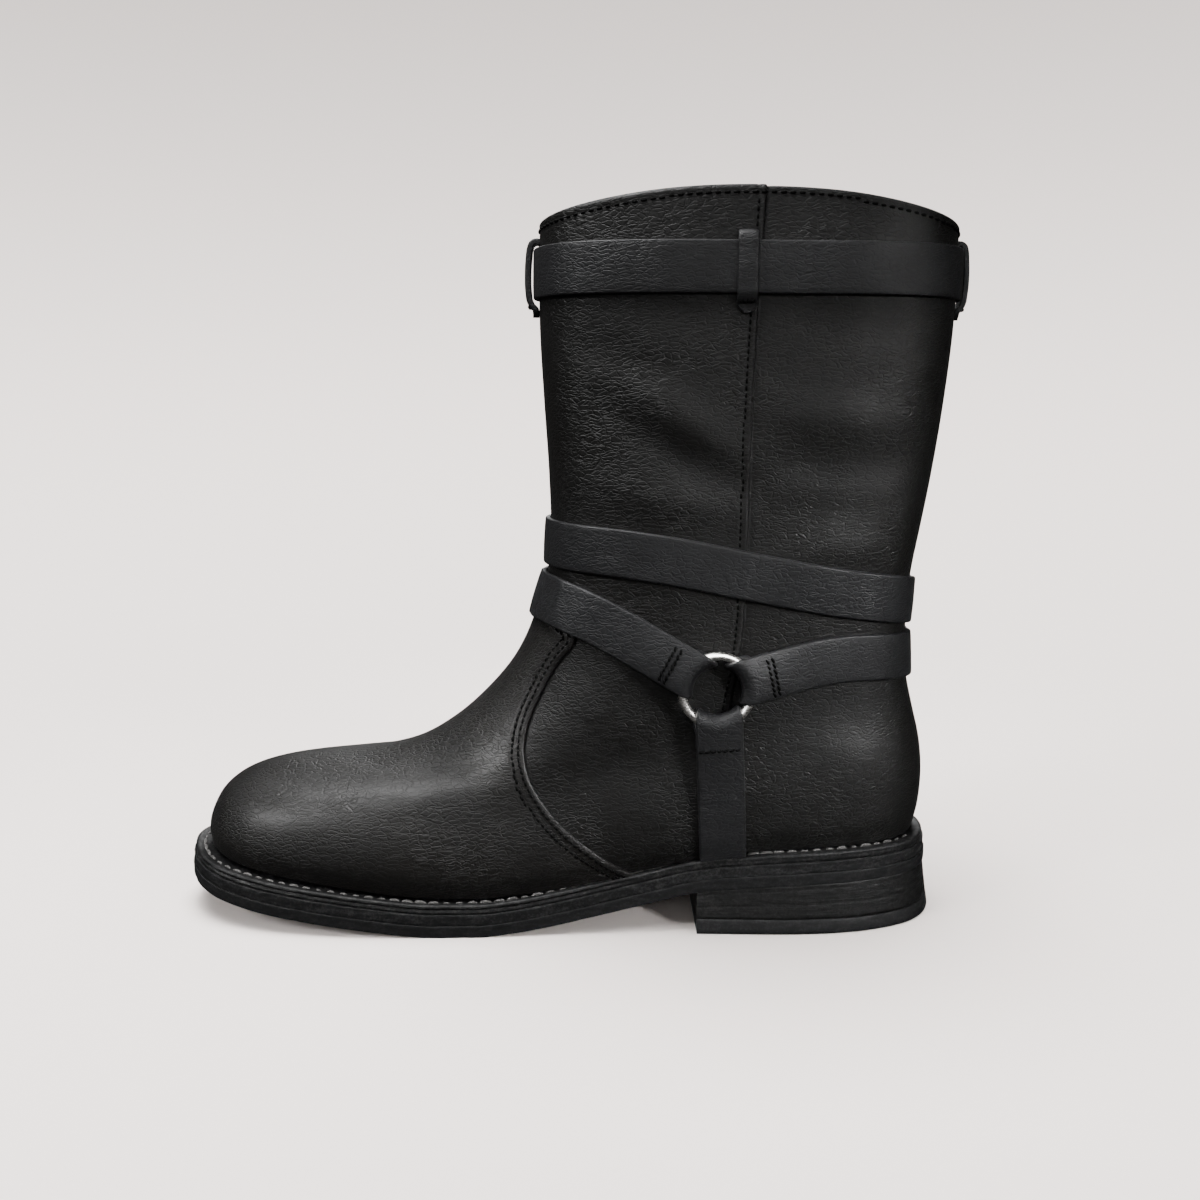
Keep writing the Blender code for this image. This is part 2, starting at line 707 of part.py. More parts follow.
def make_loop(name, trees, degrees, belt_z):
    """A leather loop that holds the belt against the shaft, level across its width."""
    out = np.array((math.cos(math.radians(degrees)), math.sin(math.radians(degrees)), 0.0))
    across = np.array((-out[1], out[0], 0.0))
    axis = np.array((SHAFT_AXIS[0], SHAFT_AXIS[1], 0.0))
    offsets = np.array((-0.5, 0.0, 0.5)) * LOOP_WIDTH

    def level(pieces, z):
        starts = [axis + across * offset + out * RAY_START + (0.0, 0.0, z) for offset in offsets]
        return max((first_hit(pieces, start, -out) - axis) @ out for start in starts)

    half_belt = BELT_WIDTH / 2
    belt_heights = belt_z + half_belt * np.array((-0.9, 0.0, 0.9))
    over = max(level(trees, z) for z in belt_heights) + STRAP_GAP
    rows = []
    for edge, past, over_belt in LOOP_PROFILE:
        z = belt_z + edge * (half_belt + past)
        distance = over if over_belt else level(trees[:1], z) + STRAP_GAP
        rows.append([axis + across * offset + out * distance + (0.0, 0.0, z) for offset in offsets])
    return make_sheet(name, np.array(rows), LOOP_THICK, STRAP_LEATHER)


def ring_frame(trees, side):
    """Place of a harness ring on one side: its middle, outward, forward-back and up."""
    x, z = RING_PLACE
    across = RING_RADIUS
    sideways = np.array((0.0, side, 0.0))

    def seat(dx, dz):
        return first_hit(trees, (x + dx, side * SIDE_RAY_START, z + dz), -sideways)

    back = seat(across, 0.0) - seat(-across, 0.0)
    back /= np.linalg.norm(back)
    up = seat(0.0, across) - seat(0.0, -FOLD_END)
    out = np.cross(back, up) * -side
    out /= np.linalg.norm(out)
    up = np.cross(out, back) * -side
    seats = [seat(dx, dz) for dx in (-across, 0.0, across) for dz in (-FOLD_END, -across, 0.0, across)]
    highest = max(point @ out for point in seats)
    middle = seat(0.0, 0.0)
    middle = middle + out * (highest - middle @ out + RING_LIFT)
    return middle, out, back, up


def fold_rows(frame, degrees):
    """Rows of a strap end: from its sewn-down tail round the ring wire to the front leg."""
    middle, out, back, up = frame
    way = back * math.cos(math.radians(degrees)) + up * math.sin(math.radians(degrees))
    across = np.cross(way, out)
    if across @ (up + back * 0.2) < 0.0:
        across = -across
    hold = RING_WIRE + GAP
    turns = np.linspace(-0.5, 0.5, STRAP_COLUMNS) * STRAP_WIDTH
    rows = []
    under = -hold
    rows.append([middle + way * FOLD_END + across * w + out * under for w in turns])
    rows.append([middle + way * (FOLD_END - FOLD_PRESS) + across * w + out * under for w in turns])
    for degrees_round in (180.0, 150.0, 120.0, 90.0, 60.0, 30.0, 0.0):
        round_wire = math.radians(degrees_round)
        row = []
        for w in turns:
            along_ring = w / RING_RADIUS
            spoke = way * math.cos(along_ring) + across * math.sin(along_ring)
            wire = middle + spoke * RING_RADIUS
            row.append(wire + out * (hold * math.cos(round_wire)) - spoke * (hold * math.sin(round_wire)))
        rows.append(row)
    lift_over_tail = under + STRAP_GAP
    rows.append([middle + way * (FOLD_END - FOLD_PRESS) + across * w + out * (lift_over_tail + FOLD_RISE) for w in turns])
    rows.append([middle + way * FOLD_END + across * w + out * lift_over_tail for w in turns])
    return np.array(rows)


def make_harness_strap(name, trees, line, ring_angle, frames, middle_angle):
    """A harness strap from one ring round the front or the back to the other ring."""
    degrees, heights = columns(line)
    inner_fold = fold_rows(frames[-1], ring_angle)
    outer_fold = fold_rows(frames[1], ring_angle)
    landings = {}
    for side in (-1, 1):
        middle, _out, back, up = frames[side]
        turn = math.radians(ring_angle)
        landing = middle + (back * math.cos(turn) + up * math.sin(turn)) * STRAP_LANDING
        landings[side] = abs(angle_of(landing))
    count = BAND_SAMPLES // 2 + 1
    if middle_angle == 0.0:
        angles = np.linspace(-landings[-1], landings[1], count)
    else:
        angles = np.linspace(360.0 - landings[-1], landings[1], count)
    folded = np.abs(np.where(angles > 180.0, 360.0 - angles, angles))
    z = smooth_through(degrees, heights, folded)
    band = lay_band(trees, angles, z, STRAP_WIDTH, STRAP_COLUMNS, closed=False)
    rows = np.vstack((inner_fold, band, outer_fold[::-1]))
    return make_sheet(name, rows, STRAP_THICK, STRAP_LEATHER)


def make_side_strap(name, trees, frame, side):
    """The harness strap that runs from a ring down the side to the welt."""
    middle = frame[0]
    out = np.array((0.0, side, 0.0))

    def seat(point):
        height = max(point[2], welt_top(point[0]) + SIDE_RAY_RISE)
        return first_hit(trees, (point[0], side * SIDE_RAY_START, height), -out)

    def shortfall(point):
        return (seat(point) - point) @ out + GAP

    fold = fold_rows(frame, SIDE_STRAP_ANGLE)
    lean = -1.0 / math.tan(math.radians(SIDE_STRAP_ANGLE))
    offsets = np.linspace(-0.5, 0.5, STRAP_COLUMNS) * STRAP_WIDTH
    foot_x = middle[0] + lean * (middle[2] - welt_top(middle[0]))
    heights = np.linspace(middle[2] - STRAP_LANDING, welt_top(foot_x) + STRAP_FOOT_GAP, SIDE_STRAP_ROWS)
    rows = []
    for height in heights:
        x = middle[0] + lean * (middle[2] - height) + offsets
        z = np.full(STRAP_COLUMNS, height)
        if height == heights[-1]:
            z = welt_top(x) + STRAP_FOOT_GAP
        ends = [seat((x[col], 0.0, z[col])) for col in (0, -1)]
        row = np.linspace(ends[0], ends[1], STRAP_COLUMNS)
        row[:, 2] = z
        rows.append(row)
    outwards = np.tile(out, (len(rows), 1))
    leg = lift_clear(np.array(rows), outwards, False, shortfall)
    return make_sheet(name, np.vstack((fold, leg)), STRAP_THICK, STRAP_LEATHER)


def make_ring(name, frame):
    """A harness ring of round wire, flat against the side of the boot."""
    middle, out = frame[:2]
    place = (middle - np.array((MIDDLE_X, MIDDLE_Y, 0.0))) * MM
    bpy.ops.mesh.primitive_torus_add(
        major_radius=RING_RADIUS * MM, minor_radius=RING_WIRE * MM,
        major_segments=RING_SEGMENTS, minor_segments=RING_WIRE_SEGMENTS,
        location=place, rotation=Vector(out).to_track_quat("Z", "Y").to_euler())
    ring = bpy.context.object
    ring.name = name
    ring.data.name = name
    ring.data.shade_smooth()
    ring.data.materials.append(NICKEL_METAL)
    for collection in list(ring.users_collection):
        collection.objects.unlink(ring)
    BOOT.objects.link(ring)
    return ring


def clear_scene():
    """Remove whatever the scene holds."""
    for leftover in list(bpy.data.objects):
        bpy.data.objects.remove(leftover)


def new_collection(name):
    """Open a collection in the scene."""
    collection = bpy.data.collections.new(name)
    bpy.context.scene.collection.children.link(collection)
    return collection


def make_material(name, colour, roughness, metallic=0.0):
    """A plain material with the part's colour, roughness and metallic value."""
    material = bpy.data.materials.new(name)
    material.use_nodes = True
    surface = material.node_tree.nodes["Principled BSDF"]
    surface.inputs["Base Color"].default_value = colour
    surface.inputs["Roughness"].default_value = roughness
    surface.inputs["Metallic"].default_value = metallic
    material.diffuse_color = colour
    return material


clear_scene()
BOOT = new_collection(BOOT_NAME)
CUTTERS = new_collection("cutters")
LEVELS = section_levels()
BLACK_LEATHER = make_material("black_leather", LEATHER_BLACK, 0.42)
STRAP_LEATHER = make_material("strap_leather", STRAP_CHARCOAL, 0.55)
SOLE_EDGE = make_material("sole_edge_leather", EDGE_BLACK, 0.6)
SOLE_RUBBER = make_material("sole_rubber", EDGE_BLACK, 0.7)
INSOLE_LEATHER = make_material("insole_leather", INSOLE_TAN, 0.7)
NICKEL_METAL = make_material("nickel", NICKEL, 0.28, 1.0)

make_sole()
make_heel()
make_insole()
UPPER = make_upper()
VAMP = make_vamp()

BODY = surface_trees([UPPER, VAMP])
TOP_BELT = make_band("top_belt", BODY, TOP_BELT_LINE, BELT_WIDTH, STRAP_LEATHER)
make_band("ankle_strap", BODY, ANKLE_STRAP_LINE, STRAP_WIDTH, STRAP_LEATHER)
BELTED = surface_trees([UPPER, TOP_BELT])
for side_name, degrees in BELT_LOOPS:
    belt_z = float(np.interp(abs(degrees), *columns(TOP_BELT_LINE)))
    make_loop("belt_loop_" + side_name, BELTED, degrees, belt_z)
FRAMES = {side: ring_frame(BODY, side) for side in (-1, 1)}
make_harness_strap("harness_front_strap", BODY, HARNESS_FRONT_LINE, FRONT_STRAP_ANGLE, FRAMES, 180.0)
make_harness_strap("harness_back_strap", BODY, HARNESS_BACK_LINE, BACK_STRAP_ANGLE, FRAMES, 0.0)
for side_name, side in (("inner", -1), ("outer", 1)):
    make_side_strap("harness_side_strap_" + side_name, BODY, FRAMES[side], side)
    make_ring("harness_ring_" + side_name, FRAMES[side])
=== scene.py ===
# %% [markdown]
# # A harness boot in cells
# This lesson dresses a mid-calf boot for the right foot. The solids of the boot come from the frame and
# are never moved. Each cell makes one piece as a finer mesh that stands where its solid stands, or one
# finish. Sizes are in millimetres, with x from toe (-) to heel (+), y from the inner side (-) to the
# outer side (+) and z up from the floor, because a shoemaker thinks in millimetres.

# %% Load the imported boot
import itertools
import math

import bpy
import numpy as np
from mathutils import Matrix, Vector
from mathutils.bvhtree import BVHTree


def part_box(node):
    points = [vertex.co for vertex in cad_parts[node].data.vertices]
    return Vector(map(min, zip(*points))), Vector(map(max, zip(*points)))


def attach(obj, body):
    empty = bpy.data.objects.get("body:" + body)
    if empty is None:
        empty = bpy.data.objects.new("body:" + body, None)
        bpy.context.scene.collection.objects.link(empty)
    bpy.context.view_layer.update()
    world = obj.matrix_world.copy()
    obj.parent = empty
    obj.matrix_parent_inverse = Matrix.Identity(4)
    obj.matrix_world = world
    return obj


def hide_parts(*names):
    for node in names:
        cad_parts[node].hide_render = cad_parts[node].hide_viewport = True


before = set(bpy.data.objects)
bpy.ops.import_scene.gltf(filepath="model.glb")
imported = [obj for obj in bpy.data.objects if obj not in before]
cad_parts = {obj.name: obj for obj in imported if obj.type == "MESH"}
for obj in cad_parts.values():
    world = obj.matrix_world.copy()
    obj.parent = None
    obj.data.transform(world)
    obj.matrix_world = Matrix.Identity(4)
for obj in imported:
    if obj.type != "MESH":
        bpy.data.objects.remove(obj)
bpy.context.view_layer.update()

MM = 0.001
MIDDLE = np.array((0.7, 7.4, 0.0))

# %% [markdown]
# ## The camera first
# The photograph was taken from the inner side, a little above the ankle, with the lens tipped down by
# about ten degrees. Setting the camera first means that every piece can be judged in the same view.

# %% Camera
CAMERA_PLACE = (15.0, -475.0, 207.0)
CAMERA_TIP = 9.8
LENS = 36.0


def to_metres(points):
    """Turn places on the boot in millimetres into the frame's metres."""
    return (np.asarray(points, dtype=float) - MIDDLE) * MM


camera_data = bpy.data.cameras.new("photo_camera")
camera_data.lens = LENS
camera_data.sensor_width = LENS
camera_data.clip_start = 0.01
camera = bpy.data.objects.new("photo_camera", camera_data)
camera.location = to_metres(CAMERA_PLACE)
camera.rotation_euler = (math.radians(90.0 - CAMERA_TIP), 0.0, 0.0)
bpy.context.scene.collection.objects.link(camera)
bpy.context.scene.camera = camera
print("camera at", tuple(round(value, 4) for value in camera.location))

# %% [markdown]
# ## Finishes
# Every finish is worked out by nodes from the place on the boot, so nothing depends on an unwrapped
# picture. Two helpers keep the node trees short: one adds a node and fills its sockets, the other a
# colour ramp.

# %% Helpers for the finishes


def add_node(tree, kind, inputs=None, **settings):
    """Add a node, set its options and fill its sockets with values or links."""
    made = tree.nodes.new(kind)
    for option, value in settings.items():
        setattr(made, option, value)
    for socket, value in (inputs or {}).items():
        if isinstance(value, bpy.types.NodeSocket):
            tree.links.new(value, made.inputs[socket])
        else:
            made.inputs[socket].default_value = value
    return made


def add_ramp(tree, factor, stops):
    """Add a colour ramp with the given places and colours."""
    ramp = add_node(tree, "ShaderNodeValToRGB", {"Fac": factor})
    points = ramp.color_ramp.elements
    while len(points) < len(stops):
        points.new(0.5)
    for point, (place, colour) in zip(points, stops):
        point.position = place
        point.color = (*colour, 1.0)
    return ramp.outputs["Color"]


def add_range(tree, value, low, high, to_low, to_high):
    """Add a node that maps one range of numbers smoothly to another."""
    sockets = {"Value": value, "From Min": low, "From Max": high, "To Min": to_low, "To Max": to_high}
    return add_node(tree, "ShaderNodeMapRange", sockets, interpolation_type="SMOOTHSTEP").outputs["Result"]


def add_noise(tree, place, scale, detail=4.0, rough=0.55):
    """Add a soft noise read at a place in metres."""
    noise = add_node(tree, "ShaderNodeTexNoise",
                     {"Vector": place, "Scale": scale, "Detail": detail, "Roughness": rough})
    return noise.outputs["Fac"]


def stretch_place(tree, place, scale):
    """Stretch or squeeze the places at which a pattern is read."""
    return add_node(tree, "ShaderNodeMapping", {"Vector": place, "Scale": scale}).outputs["Vector"]


def add_up(tree, first, second, share):
    """Add a share of one height to another."""
    sockets = {0: second, 1: share, 2: first}
    return add_node(tree, "ShaderNodeMath", sockets, operation="MULTIPLY_ADD").outputs[0]


def multiply(tree, first, second):
    """Multiply two values."""
    return add_node(tree, "ShaderNodeMath", {0: first, 1: second}, operation="MULTIPLY").outputs[0]


def new_finish(name):
    """Open a material and return it with its tree, its surface shader and the place on the boot."""
    material = bpy.data.materials.new(name)
    material.use_nodes = True
    tree = material.node_tree
    surface = tree.nodes["Principled BSDF"]
    place = add_node(tree, "ShaderNodeTexCoord").outputs["Object"]
    return material, tree, surface, place


def set_bump(tree, surface, height, strength, depth_mm):
    """Give a surface a bump of a depth in millimetres."""
    sockets = {"Height": height, "Strength": strength, "Distance": depth_mm * MM}
    bump = add_node(tree, "ShaderNodeBump", sockets)
    tree.links.new(bump.outputs["Normal"], surface.inputs["Normal"])


print("helpers ready")

# %% [markdown]
# ## Leather
# Waxed leather is nearly black, and what is seen is its gloss. Fine wrinkles run mostly across the leg,
# so the cells of the grain are wider than they are high. A slow noise makes some patches glossier, as
# where hands and trousers have polished them. A picture of leather could be wrapped round the boot
# instead, but it would stretch at the toe, and a pattern in space doesn't.

# %% Leather finishes
DRIFT_SCALE = 210.0
DRIFT = (0.0035, 0.0035, 0.0035)
GRAIN_EDGE = 0.16
GRAIN_PATCH_SCALE = 38.0
GRAIN_PATCHES = (0.35, 0.68)
GRAIN_STRENGTHS = (0.45, 1.0)
PORE_SCALE = 1900.0
PORE_SHARE = 0.5
SWELL_SCALE = 90.0
SWELL_SHARE = 0.9
POLISH_SCALE = 26.0
POLISH_COLOURS = (0.35, 0.72)
POLISH_GLOSS = (0.3, 0.72)
PORE_ROUGHNESS = 0.12
LEATHER_SPECULAR = 0.4
COAT_ROUGHNESS = 0.3


def make_leather(name, deep, pale, gloss, wrinkle, depth, coat):
    """Leather with wrinkled grain, pores and polished patches."""
    material, tree, surface, place = new_finish(name)
    drift = add_node(tree, "ShaderNodeTexNoise", {"Vector": place, "Scale": DRIFT_SCALE, "Detail": 3.0})
    sockets = {0: drift.outputs["Color"], 1: DRIFT, 2: place}
    moved = add_node(tree, "ShaderNodeVectorMath", sockets, operation="MULTIPLY_ADD").outputs["Vector"]
    sockets = {"Vector": stretch_place(tree, moved, wrinkle), "Scale": 1.0}
    cells = add_node(tree, "ShaderNodeTexVoronoi", sockets, feature="DISTANCE_TO_EDGE").outputs["Distance"]
    grain = add_range(tree, cells, 0.0, GRAIN_EDGE, 0.0, 1.0)
    worn = add_noise(tree, place, GRAIN_PATCH_SCALE, 3.0)
    grain = multiply(tree, grain, add_range(tree, worn, *GRAIN_PATCHES, *GRAIN_STRENGTHS))
    pores = add_noise(tree, place, PORE_SCALE, 3.0, 0.6)
    swell = add_noise(tree, place, SWELL_SCALE, 2.0)
    height = add_up(tree, add_up(tree, grain, pores, PORE_SHARE), swell, SWELL_SHARE)
    set_bump(tree, surface, height, 1.0, depth)
    surface.inputs["Specular IOR Level"].default_value = LEATHER_SPECULAR
    polish = add_noise(tree, place, POLISH_SCALE, 5.0, 0.6)
    shades = tuple(zip(POLISH_COLOURS, (deep, pale)))
    tree.links.new(add_ramp(tree, polish, shades), surface.inputs["Base Color"])
    rough = add_range(tree, polish, *POLISH_GLOSS, gloss[1], gloss[0])
    tree.links.new(add_up(tree, rough, pores, PORE_ROUGHNESS), surface.inputs["Roughness"])
    surface.inputs["Coat Weight"].default_value = coat
    surface.inputs["Coat Roughness"].default_value = COAT_ROUGHNESS
    return material


BLACK_LEATHER = make_leather("black_leather", (0.0032, 0.0030, 0.0027), (0.0070, 0.0065, 0.0060),
                             (0.34, 0.52), (290.0, 290.0, 760.0), 0.15, 0.08)
VAMP_LEATHER = make_leather("vamp_leather", (0.0050, 0.0046, 0.0042), (0.0130, 0.0119, 0.0108),
                            (0.32, 0.50), (260.0, 420.0, 760.0), 0.17, 0.14)
STRAP_LEATHER = make_leather("strap_leather", (0.0095, 0.0095, 0.0104), (0.0190, 0.0190, 0.0204),
                             (0.36, 0.50), (280.0, 280.0, 760.0), 0.11, 0.05)
LINING = make_leather("lining_leather", (0.060, 0.045, 0.034), (0.095, 0.072, 0.055), (0.62, 0.75),
                      (700.0, 700.0, 700.0), 0.05, 0.0)
INSOLE = make_leather("insole_leather", (0.100, 0.072, 0.050), (0.150, 0.112, 0.080), (0.60, 0.74),
                      (700.0, 700.0, 700.0), 0.05, 0.0)
print("leathers:", [finish.name for finish in (BLACK_LEATHER, VAMP_LEATHER, STRAP_LEATHER, LINING, INSOLE)])

# %% [markdown]
# ## Sole, thread and metal
# The edge of the sole is ground, inked and scuffed: light scratches run along it where the ink has
# worn. The heel is a stack of leather lifts, so its grain lies in level lines. The ring is brushed
# nickel.

# %% Finishes of the sole, the thread and the ring
SCUFF_STRETCH = (130.0, 130.0, 420.0)
CHIP_SCALE = 900.0
CHIP_SHARE = 0.5
WEAR_START = 0.22
INK_ROUGHER = 0.12
WORN_SMOOTHER = 0.1
SOLE_SPECULAR = 0.32
THREAD_SCALE = 2600.0
THREAD_SHADE = 0.55
BRUSH_STRETCH = (600.0, 600.0, 3200.0)
NICKEL_COLOURS = ((0.3, (0.60, 0.58, 0.55)), (0.7, (0.82, 0.80, 0.77)))
NICKEL_ROUGHNESS = (0.22, 0.36)


def make_sole_finish(name, ink, worn, wear, lines, depth, rough):
    """Inked edge with level lines and worn scratches."""
    material, tree, surface, place = new_finish(name)
    fibres = add_noise(tree, stretch_place(tree, place, lines), 1.0, 5.0, 0.65)
    scuffs = add_noise(tree, stretch_place(tree, place, SCUFF_STRETCH), 1.0, 6.0, 0.7)
    chips = add_noise(tree, place, CHIP_SCALE, 3.0, 0.7)
    shades = ((WEAR_START, ink), (wear, worn))
    tree.links.new(add_ramp(tree, multiply(tree, scuffs, chips), shades), surface.inputs["Base Color"])
    roughness = add_range(tree, scuffs, 0.3, 0.7, rough + INK_ROUGHER, rough - WORN_SMOOTHER)
    tree.links.new(roughness, surface.inputs["Roughness"])
    surface.inputs["Specular IOR Level"].default_value = SOLE_SPECULAR
    set_bump(tree, surface, add_up(tree, fibres, chips, CHIP_SHARE), 1.0, depth)
    return material


def make_thread(name, colour, rough, gloss):
    """Waxed thread with a fine twist."""
    material, tree, surface, place = new_finish(name)
    fibres = add_noise(tree, place, THREAD_SCALE, 3.0)
    shade = tuple(value * THREAD_SHADE for value in colour)
    tree.links.new(add_ramp(tree, fibres, ((0.3, shade), (0.7, colour))), surface.inputs["Base Color"])
    surface.inputs["Roughness"].default_value = rough
    surface.inputs["Specular IOR Level"].default_value = gloss
    set_bump(tree, surface, fibres, 0.6, 0.08)
    return material


def make_nickel():
    """Brushed nickel wire."""
    material, tree, surface, place = new_finish("nickel")
    brushing = add_noise(tree, stretch_place(tree, place, BRUSH_STRETCH), 1.0, 3.0)
    tree.links.new(add_ramp(tree, brushing, NICKEL_COLOURS), surface.inputs["Base Color"])
    tree.links.new(add_range(tree, brushing, 0.3, 0.7, *NICKEL_ROUGHNESS), surface.inputs["Roughness"])
    surface.inputs["Metallic"].default_value = 1.0
    set_bump(tree, surface, brushing, 0.3, 0.02)
    return material


WELT_FINISH = make_sole_finish("welt_edge", (0.006, 0.006, 0.0063), (0.055, 0.0545, 0.0545), 0.50,
                               (90.0, 90.0, 900.0), 0.10, 0.52)
MIDSOLE_FINISH = make_sole_finish("midsole_edge", (0.007, 0.007, 0.0074), (0.052, 0.052, 0.053), 0.50,
                                  (160.0, 160.0, 700.0), 0.16, 0.60)
OUTSOLE_FINISH = make_sole_finish("outsole_edge", (0.008, 0.008, 0.0085), (0.030, 0.030, 0.031), 0.52,
                                  (120.0, 120.0, 1100.0), 0.07, 0.62)
HEEL_FINISH = make_sole_finish("heel_stack_edge", (0.0045, 0.0045, 0.0045), (0.024, 0.0235, 0.023), 0.50,
                               (70.0, 70.0, 1500.0), 0.16, 0.52)
BLACK_THREAD = make_thread("black_thread", (0.0035, 0.0035, 0.0035), 0.75, 0.12)
WELT_THREAD = make_thread("welt_thread", (0.15, 0.146, 0.142), 0.6, 0.3)
NICKEL = make_nickel()
print("sole, thread and ring finishes ready")

# %% [markdown]
# ## Curves and meshes
# The boot's shape is held in short tables, and one function reads a smooth curve through a table's
# rows. The same tables drive the solids, so the fine meshes and the solids agree. A second set of
# helpers turns grids of points into pieces that ride on the boot.

# %% Curves through tables


def ease(share):
    """Turn a share from 0 to 1 into one that starts and ends gently."""
    return share * share * (3 - 2 * share)


def bend_between(share, span, values, slopes):
    """Values at a share of a span, on a smooth curve with given values and slopes at the span's two ends."""
    return ((1 + 2 * share) * (1 - share) ** 2 * values[0] + share ** 2 * (3 - 2 * share) * values[1]
            + share * (1 - share) ** 2 * span * slopes[0] + share ** 2 * (share - 1) * span * slopes[1])


def smooth_through(knots, values, places, period=None):
    """Read a smooth curve through the values at the knots, at other places."""
    knots = np.asarray(knots, dtype=float)
    values = np.asarray(values, dtype=float)
    places = np.asarray(places, dtype=float)
    if period is not None:
        knots = np.concatenate((knots[-2:] - period, knots, knots[:2] + period))
        values = np.concatenate((values[-2:], values, values[:2]))
    slopes = np.gradient(values, knots, axis=0)
    left = np.clip(np.searchsorted(knots, places, side="right") - 1, 0, len(knots) - 2)
    span = knots[left + 1] - knots[left]
    share = (places - knots[left]) / span
    shape = share.shape + (1,) * (values.ndim - 1)
    ends = ((values[left], values[left + 1]), (slopes[left], slopes[left + 1]))
    return bend_between(share.reshape(shape), span.reshape(shape), *ends)


def columns(table):
    """Turn a table of rows into its columns."""
    return np.array(table, dtype=float).T


def lengths_along(points):
    """How far along a path each of its points lies."""
    return np.concatenate(([0.0], np.cumsum(np.linalg.norm(np.diff(points, axis=0), axis=1))))


def along_path(points, step):
    """Points every step along a path, on a smooth curve through it."""
    points = np.asarray(points, dtype=float)
    lengths = lengths_along(points)
    count = max(2, int(round(lengths[-1] / step)) + 1)
    return smooth_through(lengths, points, np.linspace(0.0, lengths[-1], count))


NOISE_SEED = 11
NOISE_TABLE = np.random.default_rng(NOISE_SEED).random(4096)
NOISE_KEYS = (73856093, 19349663, 83492791)


def soft_noise(points, cell):
    """Smooth noise from -1 to 1 with bumps about one cell wide, the same on every run."""
    scaled = np.asarray(points, dtype=float) / cell
    corner = np.floor(scaled).astype(np.int64)
    share = ease(scaled - corner)
    total = np.zeros(scaled.shape[:-1])
    for step in itertools.product((0, 1), repeat=3):
        spot = corner + np.array(step)
        key = np.bitwise_xor.reduce(spot * np.array(NOISE_KEYS), axis=-1)
        weight = np.prod(np.where(np.array(step) == 1, share, 1 - share), axis=-1)
        total = total + weight * NOISE_TABLE[key % len(NOISE_TABLE)]
    return total * 2 - 1


print("curve helpers ready")

# %% Pieces from grids of points
SHARP_EDGE = math.radians(50.0)


def grid_quads(rows, cols, close_rows=False, close_cols=False, start=0):
    """Quads of a grid of points, joined round where it is closed."""
    row = np.arange(rows if close_rows else rows - 1)[:, None]
    col = np.arange(cols if close_cols else cols - 1)[None, :]
    after_row = (row + 1) % rows
    after_col = (col + 1) % cols
    quads = np.stack(np.broadcast_arrays(row * cols + col, row * cols + after_col,
                                         after_row * cols + after_col, after_row * cols + col), axis=-1)
    return (quads.reshape(-1, 4) + start).tolist()


def face_outwards(mesh):
    """Turn the faces of a closed mesh so that they point out."""
    corners = np.empty(len(mesh.vertices) * 3)
    mesh.vertices.foreach_get("co", corners)
    mesh.calc_loop_triangles()
    triangles = np.empty(len(mesh.loop_triangles) * 3, dtype=np.int32)
    mesh.loop_triangles.foreach_get("vertices", triangles)
    first, second, third = corners.reshape(-1, 3)[triangles.reshape(-1, 3)].transpose(1, 0, 2)
    if np.sum(first * np.cross(second, third)) < 0.0:
        mesh.flip_normals()


def add_piece(name, points, faces, finish, replaced=()):
    """Make a closed, smooth-shaded piece that rides on the boot and stands for its solids."""
    mesh = bpy.data.meshes.new(name)
    mesh.from_pydata(to_metres(points).reshape(-1, 3).tolist(), [], faces)
    mesh.materials.append(finish)
    mesh.shade_smooth()
    mesh.set_sharp_from_angle(angle=SHARP_EDGE)
    face_outwards(mesh)
    piece = bpy.data.objects.new(name, mesh)
    bpy.context.scene.collection.objects.link(piece)
    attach(piece, "root")
    if replaced:
        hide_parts(*replaced)
    return piece


print("piece helpers ready")

# %% [markdown]
# ## Sole
# A welted sole is three layers with one outline: a thin outsole, a midsole and the welt to which the
# upper is sewn. Each layer follows the sole's line, with its toe spring, its flat tread and its rise to
# the heel. A box with a bevel wouldn't do, because the edge is scuffed, so each layer is a stack of
# outlines, and the outlines of its side are roughened a little.

# %% Outline and line of the sole
TOE_TIP = (-153.9, 4.0)
HEEL_TIP = (148.4, 0.0)
OUTSOLE_THICK = 4.6
MIDSOLE_THICK = 4.0
WELT_THICK = 3.0
WELT_WIDTH = 17.0
MIDSOLE_INSET = 0.5
WELT_INSET = 1.2
LAYER_GAP = 0.3
SOLE_OUTLINE = (
    # x, inner, outer
    (-146.0, -18.5, 26.5),
    (-137.0, -27.0, 35.0),
    (-120.0, -34.8, 44.3),
    (-100.0, -39.2, 51.0),
    (-76.0, -41.6, 56.5),
    (-54.0, -42.0, 58.6),
    (-34.0, -41.6, 58.2),
    (-10.0, -40.0, 55.5),
    (14.0, -38.0, 50.5),
    (34.0, -36.8, 46.0),
    (55.0, -36.5, 42.0),
    (75.0, -37.0, 39.6),
    (92.0, -37.0, 38.4),
    (108.0, -35.6, 36.2),
    (120.0, -33.0, 33.3),
    (129.0, -29.6, 29.7),
    (135.5, -26.0, 26.0),
    (141.0, -21.0, 21.0),
    (145.4, -14.0, 14.0),
)
SOLE_LINE = (
    # x, z
    (-154.0, 13.6),
    (-136.0, 10.0),
    (-121.0, 7.8),
    (-105.0, 5.8),
    (-87.0, 3.7),
    (-71.0, 1.9),
    (-58.0, 0.5),
    (-50.0, 0.0),
    (-30.0, 0.0),
    (-16.0, 1.6),
    (1.0, 4.6),
    (17.0, 8.0),
    (33.0, 11.6),
    (52.5, 16.0),
    (75.0, 18.2),
    (100.0, 19.6),
    (125.0, 20.2),
    (150.0, 20.4),
)
OUTLINE_COUNT = 480


def sole_underside(x):
    """Height of the outsole's underside, never below the floor."""
    places, heights = columns(SOLE_LINE)
    return np.maximum(smooth_through(places, heights, x), 0.0)


